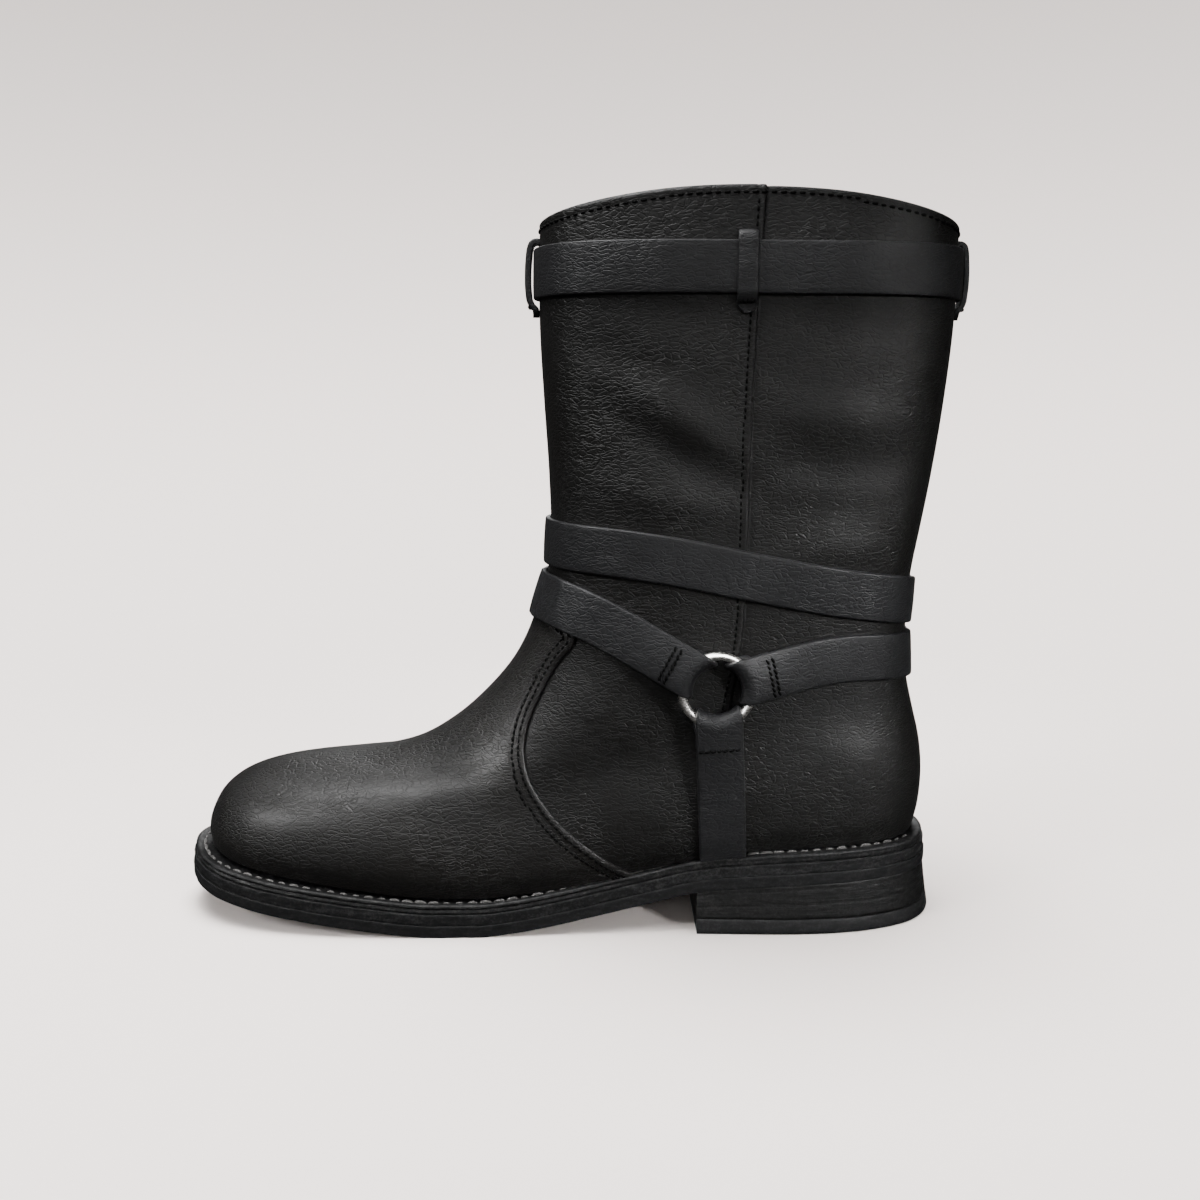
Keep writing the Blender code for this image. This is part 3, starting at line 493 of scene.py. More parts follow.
def welt_top(x):
    """Height of the welt's upper face."""
    return sole_underside(x) + OUTSOLE_THICK + MIDSOLE_THICK + WELT_THICK + 2 * LAYER_GAP


def outline_knots():
    """The outline's points from the toe tip along the outer side, and their places along it."""
    x, inner, outer = columns(SOLE_OUTLINE)
    inner_side = np.column_stack((x, inner))[::-1]
    points = np.vstack(([TOE_TIP], np.column_stack((x, outer)), [HEEL_TIP], inner_side))
    steps = np.linalg.norm(np.roll(points, -1, axis=0) - points, axis=1)
    return points, np.concatenate(([0.0], np.cumsum(steps)))


def read_outline(places, inset):
    """Points of the sole's outline at places along it, moved inwards."""
    points, knots = outline_knots()
    ahead = smooth_through(knots[:-1], points, places + 0.5, knots[-1])
    behind = smooth_through(knots[:-1], points, places - 0.5, knots[-1])
    along = ahead - behind
    along /= np.linalg.norm(along, axis=1)[:, None]
    inwards = np.column_stack((along[:, 1], -along[:, 0]))
    return smooth_through(knots[:-1], points, places, knots[-1]) + inwards * inset


def sole_outline(inset, breast_x=None):
    """The whole outline, or the part behind the heel's breast, with as many points on each side."""
    _points, knots = outline_knots()
    length, heel = knots[-1], knots[len(SOLE_OUTLINE) + 1]
    start, end = 0.0, length
    if breast_x is not None:
        fine = np.linspace(0.0, length, 4000)
        behind = fine[read_outline(fine, inset)[:, 0] >= breast_x]
        start, end = behind[0], behind[-1]
    half = OUTLINE_COUNT // 2
    places = np.concatenate((np.linspace(start, heel, half + 1), np.linspace(heel, end, half + 1)[1:]))
    outline = read_outline(places, inset)
    if breast_x is None:
        return outline[:-1]
    outline[[0, -1], 0] = breast_x
    return outline


print("outline length:", round(float(outline_knots()[1][-1]), 1), "mm")

# %% Layers of the sole
EDGE_DENTS = (
    # share, squeeze in height, size
    (1.0, 1.6, 2.4),
    (0.6, 2.0, 0.9),
)
EDGE_BULGE = 0.3
LAYER_CORNER = (
    # inset and drop, as shares of the rounding
    (2.4, 0.0),
    (1.0, 0.0),
    (0.3, 0.3),
)


def slab_faces(rings, count, has_breast):
    """Faces of a stack of outlines with a ladder of quads at its top and bottom."""
    last = (count - 1) // 2 if has_breast else count // 2
    one_side = list(range(last + 1))
    if has_breast:
        other_side = [count - 1 - index for index in one_side]
    else:
        other_side = [(count - index) % count for index in one_side]
    bottom = (rings - 1) * count
    faces = grid_quads(rings, count, close_cols=True)
    for step in range(last):
        rung = (one_side[step], one_side[step + 1], other_side[step + 1], other_side[step])
        corners = list(dict.fromkeys(rung))
        faces.append(corners[::-1])
        faces.append([corner + bottom for corner in corners])
    return faces


def add_layer(name, profile, height_at, finish, node, roughen, breast_x=None):
    """Make a layer from a profile of insets and heights, with a roughened side."""
    rings = []
    for inset, height in profile:
        outline = sole_outline(inset, breast_x)
        rings.append(np.column_stack((outline, height_at(outline[:, 0], height))))
    rings = np.array(rings)
    outward = rings[:, :, :2] - np.roll(rings[:, :, :2], 1, axis=1)
    outward = np.stack((-outward[:, :, 1], outward[:, :, 0]), axis=-1)
    outward /= np.linalg.norm(outward, axis=-1)[:, :, None] + 1e-9
    dents = sum(share * soft_noise(rings * (1.0, 1.0, squeeze), cell) for share, squeeze, cell in EDGE_DENTS)
    rings[:, :, :2] += outward * (np.minimum(dents, EDGE_BULGE) * roughen)[:, :, None]
    if breast_x is not None:
        rings[:, [0, -1], 0] = breast_x
    faces = slab_faces(len(rings), rings.shape[1], breast_x is not None)
    return add_piece(name, rings, faces, finish, (node,))


def edge_profile(inset, low, high, round_edge, steps):
    """Insets and heights down the side of a layer, with rounded edges."""
    corner = [(inset + far * round_edge, drop * round_edge) for far, drop in LAYER_CORNER]
    profile = [(place, high - drop) for place, drop in corner]
    profile += [(inset, height) for height in np.linspace(high - round_edge, low + round_edge, steps)]
    return profile + [(place, low + drop) for place, drop in corner[::-1]]


def above_underside(x, height):
    """Height above the outsole's underside."""
    return sole_underside(x) + height


MIDSOLE_GAP = 0.08
MIDSOLE_LOW = OUTSOLE_THICK + MIDSOLE_GAP
MIDSOLE_HIGH = OUTSOLE_THICK + LAYER_GAP + MIDSOLE_THICK
outsole = add_layer("outsole_tread", edge_profile(0.0, 0.0, OUTSOLE_THICK, 0.16, 8), above_underside,
                    OUTSOLE_FINISH, "outsole", 0.18)
midsole = add_layer("midsole_layer", edge_profile(MIDSOLE_INSET, MIDSOLE_LOW, MIDSOLE_HIGH, 0.15, 8),
                    above_underside, MIDSOLE_FINISH, "midsole", 0.28)
print("outsole and midsole points:", len(outsole.data.vertices), len(midsole.data.vertices))

# %% [markdown]
# ## Welt
# The welt is a strip laid round the edge of the sole. In front its lip stands up as a bright line and a
# groove runs under it. Both run out at the waist, where the strip is skived thin. It is swept along the
# outline with its own cross-section, and only the depth of the groove changes on the way.

# %% Welt strip
WELT_RUN_OUT = (14.0, 30.0)
GROOVE_DEPTH = 0.5
LIP_RISE = 0.35
WELT_DENT_SIZE = 1.7
WELT_DENTS = (0.05, 0.05, 0.07)
WELT_PROFILE = (
    # inset from the welt's edge, height from its top, share of the groove, share of the lip
    (WELT_WIDTH, 0.0, 0.0, 0.0),
    (9.0, -0.7, 0.0, 0.0),
    (6.4, -0.8, 0.0, 0.0),
    (5.2, -0.6, 0.0, 0.0),
    (3.9, -0.3, 0.0, 0.0),
    (2.6, -0.1, 0.0, 0.4),
    (1.5, 0.0, 0.0, 1.0),
    (0.7, -0.05, 0.0, 1.0),
    (0.2, -0.3, 0.0, 0.6),
    (0.0, -0.75, 0.1, 0.0),
    (0.05, -1.15, 0.6, 0.0),
    (0.1, -1.5, 1.0, 0.0),
    (0.05, -1.9, 0.6, 0.0),
    (0.0, -2.3, 0.1, 0.0),
    (0.03, -2.85, 0.0, 0.0),
    (0.25, -3.2, 0.0, 0.0),
    (WELT_WIDTH, -3.2, 0.0, 0.0),
)


def add_welt():
    """Sweep the welt's cross-section along the outline of the sole."""
    rings = []
    for inset, height, groove, lip in WELT_PROFILE:
        outline = sole_outline(WELT_INSET + inset)
        x = outline[:, 0]
        run = ease(np.clip((WELT_RUN_OUT[1] - x) / (WELT_RUN_OUT[1] - WELT_RUN_OUT[0]), 0.0, 1.0))
        if groove > 0.0:
            deeper = sole_outline(WELT_INSET + inset + groove * GROOVE_DEPTH)
            outline = outline + (deeper - outline) * run[:, None]
        rings.append(np.column_stack((outline, welt_top(x) + height + lip * LIP_RISE * run)))
    rings = np.array(rings)
    rings += soft_noise(rings, WELT_DENT_SIZE)[:, :, None] * np.array(WELT_DENTS)
    faces = grid_quads(len(rings), rings.shape[1], close_rows=True, close_cols=True)
    return add_piece("welt_strip", rings, faces, WELT_FINISH, ("welt",))


welt = add_welt()
print("welt points:", len(welt.data.vertices))

# %% [markdown]
# ## Heel
# The heel is a stack of leather lifts with a rubber piece at the floor. It flares a little, and it ends
# in a straight breast. The lines between the lifts are shallow grooves in its side.

# %% Heel stack and top lift
HEEL_BREAST_X = 52.5
HEEL_LIFT_THICK = 5.8
HEEL_SEAT_INSET = 0.6
HEEL_FLARE = 3.0
LIFT_LINES = (10.2, 14.6)
LIFT_GROOVE = (0.10, 0.35)
STACK_EDGE = (0.3, 0.03)
STACK_ROWS = 26
STACK_GAPS = (0.15, 0.1)
TOP_PIECE_PROFILE = (
    # height, inset
    (5.8, 0.5),
    (5.6, 0.1),
    (5.2, 0.0),
    (3.8, 0.0),
    (2.4, 0.0),
    (1.0, 0.05),
    (0.35, 0.3),
    (0.0, 1.0),
)


def heel_inset(height):
    """How far the heel's side lies inside the sole's outline at a height."""
    return HEEL_SEAT_INSET - HEEL_FLARE * (1 - height / float(sole_underside(HEEL_BREAST_X)))


def stack_height(x, share):
    """Height of a place in the heel stack, from the top lift (0) to the seat (1)."""
    low = HEEL_LIFT_THICK + STACK_GAPS[0]
    return low + (sole_underside(x) - STACK_GAPS[1] - low) * share


def add_heel():
    """The stack of lifts and the rubber piece under it."""
    seat = float(sole_underside(HEEL_BREAST_X))
    profile = []
    deep, wide = LIFT_GROOVE
    rounding, reach = STACK_EDGE
    for share in np.linspace(1.0, 0.0, STACK_ROWS):
        height = HEEL_LIFT_THICK + (seat - HEEL_LIFT_THICK) * share
        lines = sum(deep * math.exp(-((height - line) / wide) ** 2) for line in LIFT_LINES)
        edge = rounding * (math.exp(-((1.0 - share) / reach) ** 2) + math.exp(-(share / reach) ** 2))
        profile.append((heel_inset(height) + lines + edge, share))
    stack = add_layer("heel_stack_lifts", profile, stack_height, HEEL_FINISH, "heel_stack",
                      0.10, HEEL_BREAST_X)
    profile = [(heel_inset(height) + inset, height) for height, inset in TOP_PIECE_PROFILE]
    lift = add_layer("heel_top_piece", profile, lambda x, height: np.full(len(x), height), OUTSOLE_FINISH,
                     "heel_top_lift", 0.06, HEEL_BREAST_X)
    return stack, lift


heel_stack, heel_lift = add_heel()
print("heel points:", len(heel_stack.data.vertices), len(heel_lift.data.vertices))

# %% [markdown]
# ## Upper
# The upper is one hollow wall pulled over a last. Its sections run from the feather line on the welt up
# to the collar, and each is a ring through a front and a back point with five half widths between them.
# The front panel laps over the back panel at the two side seams. Sculpting by hand would also give this
# form, but a function can be read again at any place, so seams, stitches and straps can all be laid on
# it.

# %% Sections of the upper
WALL = 2.2
LAP = 1.0
VAMP_GAP = 0.3
VAMP_THICK = 1.3
HALF_WIDTH_SHARES = (0.06, 0.25, 0.5, 0.75, 0.94)
SECTIONS = (
    # front x, front z, back x, back z, seam x, five half widths, follow, sway, rise
    (-143.7, 25.9, 143.4, 32.9, 62.0, 26.0, 39.8, 38.4, 34.0, 24.2, 1.0, 1.0, 0.0),
    (-144.1, 32.0, 145.2, 41.0, 62.0, 27.6, 42.2, 40.6, 36.0, 25.6, 1.0, 1.0, 0.0),
    (-142.0, 38.8, 146.1, 50.0, 62.0, 27.0, 42.2, 40.8, 36.5, 25.9, 1.0, 1.0, 0.0),
    (-137.8, 45.4, 146.1, 58.0, 62.0, 25.0, 40.6, 40.0, 36.4, 25.8, 1.0, 1.0, 0.0),
    (-130.0, 51.0, 145.4, 65.5, 62.0, 21.8, 38.4, 38.8, 35.7, 25.2, 1.0, 1.0, 0.0),
    (-117.2, 55.0, 144.0, 73.0, 62.2, 18.0, 36.2, 37.4, 34.6, 24.4, 1.0, 0.95, 0.0),
    (-100.5, 56.6, 142.2, 80.0, 62.6, 16.8, 35.0, 36.4, 33.6, 23.6, 1.0, 0.9, 0.0),
    (-81.5, 58.0, 140.3, 87.5, 63.2, 17.0, 34.0, 35.6, 32.8, 22.9, 1.0, 0.8, 0.0),
    (-61.0, 63.2, 138.6, 95.0, 64.0, 17.2, 33.0, 35.0, 32.1, 22.3, 0.9, 0.65, 0.0),
    (-43.4, 73.4, 137.4, 104.0, 65.2, 17.0, 32.2, 34.6, 31.7, 21.9, 0.6, 0.5, 0.0),
    (-29.0, 86.3, 137.2, 113.0, 66.6, 17.0, 31.8, 34.4, 31.5, 21.7, 0.3, 0.35, 0.0),
    (-17.6, 100.2, 137.2, 122.0, 67.8, 17.8, 31.8, 34.2, 31.5, 21.7, 0.1, 0.2, 0.0),
    (-9.4, 117.2, 137.6, 132.0, 68.8, 19.0, 32.0, 34.0, 31.7, 21.8, 0.0, 0.1, 0.0),
    (-5.2, 135.0, 138.8, 142.0, 69.4, 20.2, 32.2, 33.8, 32.0, 22.0, 0.0, 0.0, 0.0),
    (-3.6, 153.0, 141.0, 155.0, 69.6, 21.2, 32.4, 33.7, 32.5, 22.3, 0.0, 0.0, 0.0),
    (-4.0, 174.0, 144.1, 174.0, 69.8, 21.8, 32.8, 33.7, 33.0, 22.7, 0.0, 0.0, 0.0),
    (-5.8, 204.0, 147.9, 204.0, 70.2, 22.3, 33.2, 33.9, 33.7, 23.2, 0.0, 0.0, 0.0),
    (-7.2, 231.0, 150.2, 231.0, 71.2, 22.7, 33.5, 34.1, 34.1, 23.5, 0.0, 0.0, 0.0),
    (-7.3, 252.0, 150.6, 250.5, 72.4, 22.8, 33.7, 34.2, 34.4, 23.6, 0.0, 0.0, 3.2),
    (-6.9, 270.0, 150.6, 267.3, 73.8, 22.8, 33.7, 34.2, 34.5, 23.6, 0.0, 0.0, 10.6),
)
FOOT_CURVE = (
    # x, y of the middle
    (-150.0, 4.0),
    (-110.0, 6.2),
    (-70.0, 7.8),
    (-30.0, 8.0),
    (5.0, 6.2),
    (40.0, 3.6),
    (75.0, 1.2),
    (105.0, 0.2),
    (150.0, 0.0),
)


def upper_rings(around):
    """Points of every section at places round it: 0 in front, 1 and -1 on the side seams, 2 at the back."""
    shares = np.arccos(1 - 2 * np.array(HALF_WIDTH_SHARES)) / math.pi
    knots = np.concatenate((-shares[::-1], [0.0], shares, [1.0]))
    curve_x, curve_y = columns(FOOT_CURVE)
    side = np.sign(around)
    place = np.abs(around)
    rings = []
    for section in SECTIONS:
        front_x, front_z, back_x, back_z, seam_x = section[:5]
        widths = np.array(section[5:10])
        follow, sway, rise = section[10:]
        seam = math.acos(1 - 2 * (seam_x - front_x) / (back_x - front_x)) / math.pi
        turn = np.where(place <= 1, place * seam, seam + (place - 1) * (1 - seam))
        share = (1 - np.cos(math.pi * turn)) / 2
        x = front_x + (back_x - front_x) * share
        half_widths = np.concatenate((-widths[::-1], [0.0], widths, [0.0]))
        y = smooth_through(knots, half_widths, side * turn, 2.0) + sway * smooth_through(curve_x, curve_y, x)
        straight = front_z + (back_z - front_z) * share
        above_front = front_z - welt_top(front_x)
        above_back = back_z - welt_top(back_x)
        parallel = welt_top(x) + above_front + (above_back - above_front) * share
        z = straight + follow * (parallel - straight)
        to_seam = np.where(place <= 1, place, 2 - place)
        z = z + rise * (1 - np.cos(math.pi * to_seam)) / 2
        rings.append(np.column_stack((x, y, z)))
    return np.array(rings)


def section_levels():
    """How far up the upper each section lies, from 0 on the welt to 1 at the collar."""
    rings = upper_rings(np.linspace(-1.9, 1.9, 40))
    steps = np.linalg.norm(np.diff(rings, axis=0), axis=2).mean(axis=1)
    levels = np.concatenate(([0.0], np.cumsum(steps)))
    return levels / levels[-1]


LEVELS = section_levels()
SMALL = 1e-3
SEARCH_STEPS = 5


def read_upper(around, up):
    """Points of the upper at places round it and levels up it."""
    rings = upper_rings(around)
    slopes = np.gradient(rings, LEVELS, axis=0)
    left = np.clip(np.searchsorted(LEVELS, up, side="right") - 1, 0, len(LEVELS) - 2)
    span = LEVELS[left + 1] - LEVELS[left]
    share = ((up - LEVELS[left]) / span)[:, None]
    each = np.arange(len(around))
    ends = ((rings[left, each], rings[left + 1, each]), (slopes[left, each], slopes[left + 1, each]))
    return bend_between(share, span[:, None], *ends)


def upper_surface(around, up):
    """Points of the upper and the directions out of it, in the shape of the places given."""
    around, up = np.broadcast_arrays(np.asarray(around, dtype=float), np.asarray(up, dtype=float))
    shape = around.shape + (3,)
    around = around.ravel()
    up = up.ravel()
    points = read_upper(around, up)
    ahead = read_upper(around + SMALL, up) - read_upper(around - SMALL, up)
    rising = read_upper(around, up + SMALL) - read_upper(around, up - SMALL)
    outward = np.cross(rising, ahead)
    outward /= np.linalg.norm(outward, axis=1)[:, None]
    return points.reshape(shape), outward.reshape(shape)


def place_on_upper(x, z):
    """Find the place round and the level of a point seen from the side."""
    around = np.linspace(0.02, 1.9, 140)[None, :]
    up = np.linspace(0.0, 1.0, 160)[:, None]
    seen = upper_surface(around, up)[0][:, :, [0, 2]]
    places = []
    for spot in np.column_stack((x, z)):
        level, col = np.unravel_index(np.argmin(((seen - spot) ** 2).sum(axis=2)), seen.shape[:2])
        guess = np.array((around[0, col], up[level, 0]))
        for _ in range(SEARCH_STEPS):
            trial = read_upper(guess[0] + SMALL * np.array((0, 1, 0)), guess[1] + SMALL * np.array((0, 0, 1)))
            here, across, above = trial[:, [0, 2]]
            slopes = np.column_stack((across - here, above - here)) / SMALL
            guess = np.clip(guess + np.linalg.solve(slopes, spot - here), (0.0, 0.0), (1.95, 1.0))
        places.append(guess)
    return np.array(places)


print("sections:", len(SECTIONS), "levels up to the collar")

# %% [markdown]
# ## Creases
# Leather on a boot that has been worn or handled isn't smooth: the shaft has soft dents where it folds
# above the ankle, and the vamp has shallow creases along the foot. A cloth simulation would put folds
# where it likes, so each crease is listed as an arc in the boot's side view, with a width and a
# height. A negative height is a trough.

# %% Creases listed one by one
CREASES = (
    # side (-1 inner, 1 outer, 0 both), from x, z, through x, z, to x, z, half width, height
    (-1, 18.0, 214.0, 42.0, 197.0, 68.0, 185.0, 8.0, 1.15),
    (-1, 20.0, 200.0, 44.0, 181.0, 70.0, 172.0, 7.0, -1.20),
    (-1, 8.0, 176.0, 40.0, 166.0, 66.0, 163.0, 6.5, 0.80),
    (-1, 4.0, 228.0, 22.0, 216.0, 46.0, 214.0, 7.0, -0.60),
    (-1, 76.0, 204.0, 96.0, 196.0, 124.0, 198.0, 8.5, 1.05),
    (-1, 76.0, 184.0, 98.0, 178.0, 130.0, 182.0, 8.5, -1.00),
    (-1, 76.0, 144.0, 96.0, 151.0, 126.0, 150.0, 6.5, 0.90),
    (-1, 78.0, 166.0, 98.0, 163.0, 124.0, 166.0, 5.5, -0.40),
    (-1, 26.0, 238.0, 48.0, 232.0, 64.0, 234.0, 8.0, -0.45),
    (-1, 78.0, 234.0, 104.0, 228.0, 132.0, 232.0, 9.0, -0.45),
    (1, 12.0, 200.0, 40.0, 186.0, 66.0, 178.0, 8.0, -1.20),
    (1, 16.0, 186.0, 44.0, 170.0, 64.0, 166.0, 7.0, 0.90),
    (1, 78.0, 196.0, 100.0, 184.0, 130.0, 190.0, 8.0, -1.00),
    (1, 80.0, 214.0, 102.0, 205.0, 126.0, 210.0, 9.0, 0.80),
    (1, 76.0, 166.0, 100.0, 158.0, 126.0, 160.0, 7.0, 0.80),
    (-1, 84.0, 76.0, 106.0, 70.0, 130.0, 68.0, 9.0, 0.70),
    (-1, 4.0, 96.0, 14.0, 84.0, 34.0, 78.0, 8.0, 0.50),
    (-1, 14.0, 70.0, 26.0, 62.0, 40.0, 58.0, 9.0, -0.35),
    (0, -114.0, 51.0, -82.0, 57.0, -48.0, 66.5, 3.2, 0.15),
    (0, -112.0, 44.5, -80.0, 50.5, -46.0, 59.5, 3.2, 0.15),
    (0, -108.0, 38.0, -76.0, 44.0, -44.0, 52.5, 3.2, 0.12),
)
CREASE_SAMPLES = 26
CREASE_ENDS = (0.06, 0.94)
CREASE_FADE = 0.7


def crease_relief(points, side):
    """Height of the creases at points of the upper on one side or the other."""
    shape = points.shape[:-1]
    seen = points.reshape(-1, 3)[:, [0, 2]]
    side = np.broadcast_to(side, shape).ravel()
    relief = np.zeros(len(seen))
    share = np.linspace(0.0, 1.0, CREASE_SAMPLES)[:, None]
    for row in CREASES:
        which, width, height = row[0], row[7], row[8]
        start, through, end = np.array(row[1:7]).reshape(3, 2)
        arc = start * (1 - share) ** 2 + through * 2 * share * (1 - share) + end * share ** 2
        reach = 3 * width
        low, high = arc.min(axis=0) - reach, arc.max(axis=0) + reach
        near = np.all((seen > low) & (seen < high), axis=1)
        if which != 0:
            near &= side == which
        spots = seen[near]
        distance = ((spots[:, None, :] - arc[None, :, :]) ** 2).sum(axis=2)
        nearest = distance.argmin(axis=1)
        fade = np.sin(math.pi * np.clip(share[nearest, 0], *CREASE_ENDS)) ** CREASE_FADE
        relief[near] += height * fade * np.exp(-distance.min(axis=1) / width ** 2)
    return relief.reshape(shape)


print("creases:", len(CREASES))

# %% [markdown]
# ## Wall of the upper
# The outer skin carries the creases, a groove under each row of stitches, a rolled collar and the step
# of the lap at each side seam. The inner skin is the lining, and a round rim joins the two at the
# collar.

# %% Upper with its lap seams and rolled collar
COLLAR_STITCH_DROP = 2.9
SEAM_STITCH_SETBACK = 2.6
STITCH_GROOVE = 0.22
UPPER_ROWS = 210
LINING_ROWS = 60
RIM_STEPS = 7
RIM_DROP = 0.0045
COLLAR_ROLL = (1.0, 0.22, 0.8)
LAP_EDGE = (
    # place round the upper, share of the lap
    (0.962, 1.0),
    (0.97, 1.0),
    (0.978, 1.0),
    (0.986, 1.0),
    (0.992, 1.0),
    (0.9965, 0.95),
    (0.9990, 0.75),
    (1.0002, 0.35),
    (1.0012, 0.0),
    (1.004, -0.2),
    (1.010, -0.12),
    (1.02, 0.0),
)


def groove(distance, at, depth, width=0.55):
    """A soft groove at a distance."""
    return -depth * np.exp(-((distance - at) / width) ** 2)


def upper_skin(around, up, lift):
    """Points of the upper's outer skin with its creases and grooves."""
    points, outward = upper_surface(around, up)
    around = np.broadcast_to(around, points.shape[:-1])
    up = np.broadcast_to(up, points.shape[:-1])
    side = np.where(around < 0.0, -1, 1)
    flat = around.ravel()
    collar_z = read_upper(flat, np.ones(len(flat)))[:, 2].reshape(around.shape)
    seam_x = read_upper(np.sign(flat) + (flat == 0.0), up.ravel())[:, 0].reshape(around.shape)
    below = collar_z - points[..., 2]
    ahead = np.where(np.abs(around) <= 1.0, seam_x - points[..., 0], 99.0)
    relief = crease_relief(points, side)
    relief = relief + groove(below, COLLAR_STITCH_DROP, STITCH_GROOVE) - groove(below, *COLLAR_ROLL)
    relief = relief + groove(ahead, SEAM_STITCH_SETBACK, STITCH_GROOVE)
    return points + outward * (lift + relief)[..., None]


def upper_columns():
    """Places round the upper with the lift of the front panel at each, dense at the lap edges."""
    half = [(place, 1.0) for place in np.linspace(0.0, 0.955, 84)] + list(LAP_EDGE)
    half += [(place, 0.0) for place in np.linspace(1.035, 2.0, 66)]
    half = np.array(half)
    other = half[1:-1][::-1] * (-1.0, 1.0)
    return np.vstack((half, other)).T


def add_upper():
    """The hollow upper: outer skin, rim and lining."""
    around, lap = upper_columns()
    up = np.linspace(0.0, 1.0 - RIM_DROP, UPPER_ROWS)[:, None]
    outside = upper_skin(around[None, :], up, lap[None, :] * LAP)
    lining_up = np.linspace(1.0 - RIM_DROP, 0.0, LINING_ROWS)[:, None]
    base, outward = upper_surface(around[None, :], lining_up)
    lining = base - outward * WALL
    top, bottom = outside[-1], lining[0]
    centre, across = (top + bottom) / 2, (top - bottom) / 2
    rising = np.array((0.0, 0.0, 1.0)) * np.linalg.norm(across, axis=1)[:, None]
    turns = np.linspace(0.0, math.pi, RIM_STEPS + 2)[1:-1]
    rim = np.array([centre + across * math.cos(turn) + rising * math.sin(turn) for turn in turns])
    grid = np.vstack((outside, rim, lining))
    faces = grid_quads(len(grid), grid.shape[1], close_rows=True, close_cols=True)
    piece = add_piece("upper_wall", grid, faces, BLACK_LEATHER, ("upper",))
    piece.data.materials.append(LINING)
    lining_start = (UPPER_ROWS + RIM_STEPS - 1) * grid.shape[1]
    index = np.zeros(len(faces), dtype=np.int32)
    index[lining_start:] = 1
    piece.data.polygons.foreach_set("material_index", index)
    return piece


upper = add_upper()
print("upper faces:", len(upper.data.polygons))

# %% [markdown]
# ## Vamp
# The vamp is a second leather over the forefoot, sewn down along a curved edge with two rows of
# stitches. It is read from the same function as the upper, a little further out, and its grid is
# stretched so that its last column runs along the seam. Its edge is rounded, and a low ridge follows
# it.

# %% Vamp with its raised edge
VAMP_EDGE = (
    # x, z
    (-7.0, 128.0),
    (0.0, 124.0),
    (6.4, 115.0),
    (-0.4, 104.0),
    (-7.4, 91.0),
    (-12.6, 78.2),
    (-13.8, 68.8),
    (-11.6, 59.3),
    (-6.0, 49.8),
    (3.4, 39.8),
    (15.0, 31.0),
    (30.0, 22.0),
)
VAMP_ROWS_OF_STITCHES = (2.7, 5.3)
VAMP_ROWS = 150
VAMP_COLS = 126
VAMP_EDGE_COLS = 26
VAMP_RIDGE = (1.2, 0.32, 0.9)
VAMP_EDGE_ROUND = (0.5, 0.45)
VAMP_UNDER = LAP + 0.1
VAMP_LIFT = LAP + VAMP_GAP + VAMP_THICK

edge_curve = along_path(VAMP_EDGE, 2.0)
EDGE_PLACES = place_on_upper(edge_curve[:, 0], edge_curve[:, 1])
EDGE_PLACES = EDGE_PLACES[np.argsort(EDGE_PLACES[:, 1])]
fine_up = np.linspace(0.0, EDGE_PLACES[-1, 1], 240)
fine_around = np.interp(fine_up, EDGE_PLACES[:, 1], EDGE_PLACES[:, 0])
EDGE_LINE = {side: upper_surface(fine_around * side, fine_up)[0] for side in (-1, 1)}


def edge_distance(points):
    """Distance of points from the vamp's edge on either side."""
    line = np.vstack((EDGE_LINE[-1], EDGE_LINE[1]))
    nearest = [np.sqrt(((row[:, None, :] - line[None]) ** 2).sum(axis=2)).min(axis=1) for row in points]
    return np.array(nearest)


def vamp_skin(around, up):
    """Points of the vamp's outer skin with its creases, its grooves and its rounded edge."""
    points, outward = upper_surface(around, up)
    side = np.where(np.broadcast_to(around, points.shape[:-1]) < 0.0, -1, 1)
    distance = edge_distance(points)
    relief = crease_relief(points, side) - groove(distance, *VAMP_RIDGE)
    for row in VAMP_ROWS_OF_STITCHES:
        relief = relief + groove(distance, row, STITCH_GROOVE)
    relief = relief + groove(distance, 0.0, *VAMP_EDGE_ROUND)
    return points + outward * (VAMP_LIFT + relief)[..., None]


def add_vamp():
    """The vamp as a closed wall over the front panel."""
    wide = np.linspace(0.0, 0.86, VAMP_COLS - VAMP_EDGE_COLS)
    half = np.concatenate((wide, np.linspace(0.87, 1.0, VAMP_EDGE_COLS)))
    shares = np.concatenate((-half[:0:-1], half))
    up = np.linspace(0.0, EDGE_PLACES[-1, 1], VAMP_ROWS)
    reach = np.maximum(np.interp(up, EDGE_PLACES[:, 1], EDGE_PLACES[:, 0]), 0.01)
    around = reach[:, None] * shares[None, :]
    outside = vamp_skin(around, up[:, None])
    points, outward = upper_surface(around, up[:, None])
    inside = points + outward * VAMP_UNDER
    rows, cols = outside.shape[:2]
    count = rows * cols
    faces = grid_quads(rows, cols)
    faces += [[corner + count for corner in face[::-1]] for face in faces]
    border = [row * cols for row in range(rows)] + [(rows - 1) * cols + col for col in range(1, cols)]
    border += [row * cols + cols - 1 for row in range(rows - 2, -1, -1)] + list(range(cols - 2, 0, -1))
    for here, after in zip(border, border[1:] + border[:1]):
        faces.append([after, here, here + count, after + count])
    both = np.vstack((outside, inside))
    return add_piece("vamp_leather_piece", both, faces, VAMP_LEATHER, ("vamp",))


vamp = add_vamp()
print("vamp faces:", len(vamp.data.polygons))

# %% [markdown]
# ## Laying straps on the boot
# A strap is flat leather: it bends along its length but stays straight across its width, and it is
# pulled taut, so it bridges the dents in the shaft. A shrinkwrap modifier would press it into every
# crease, so rays find where the boot is, and the strap then takes the shortest way over those places.

# %% Finding the boot's surface
SHAFT_AXIS = np.array((68.0, 0.0))
RAY_START = 300.0
STRAP_GAP = 0.15


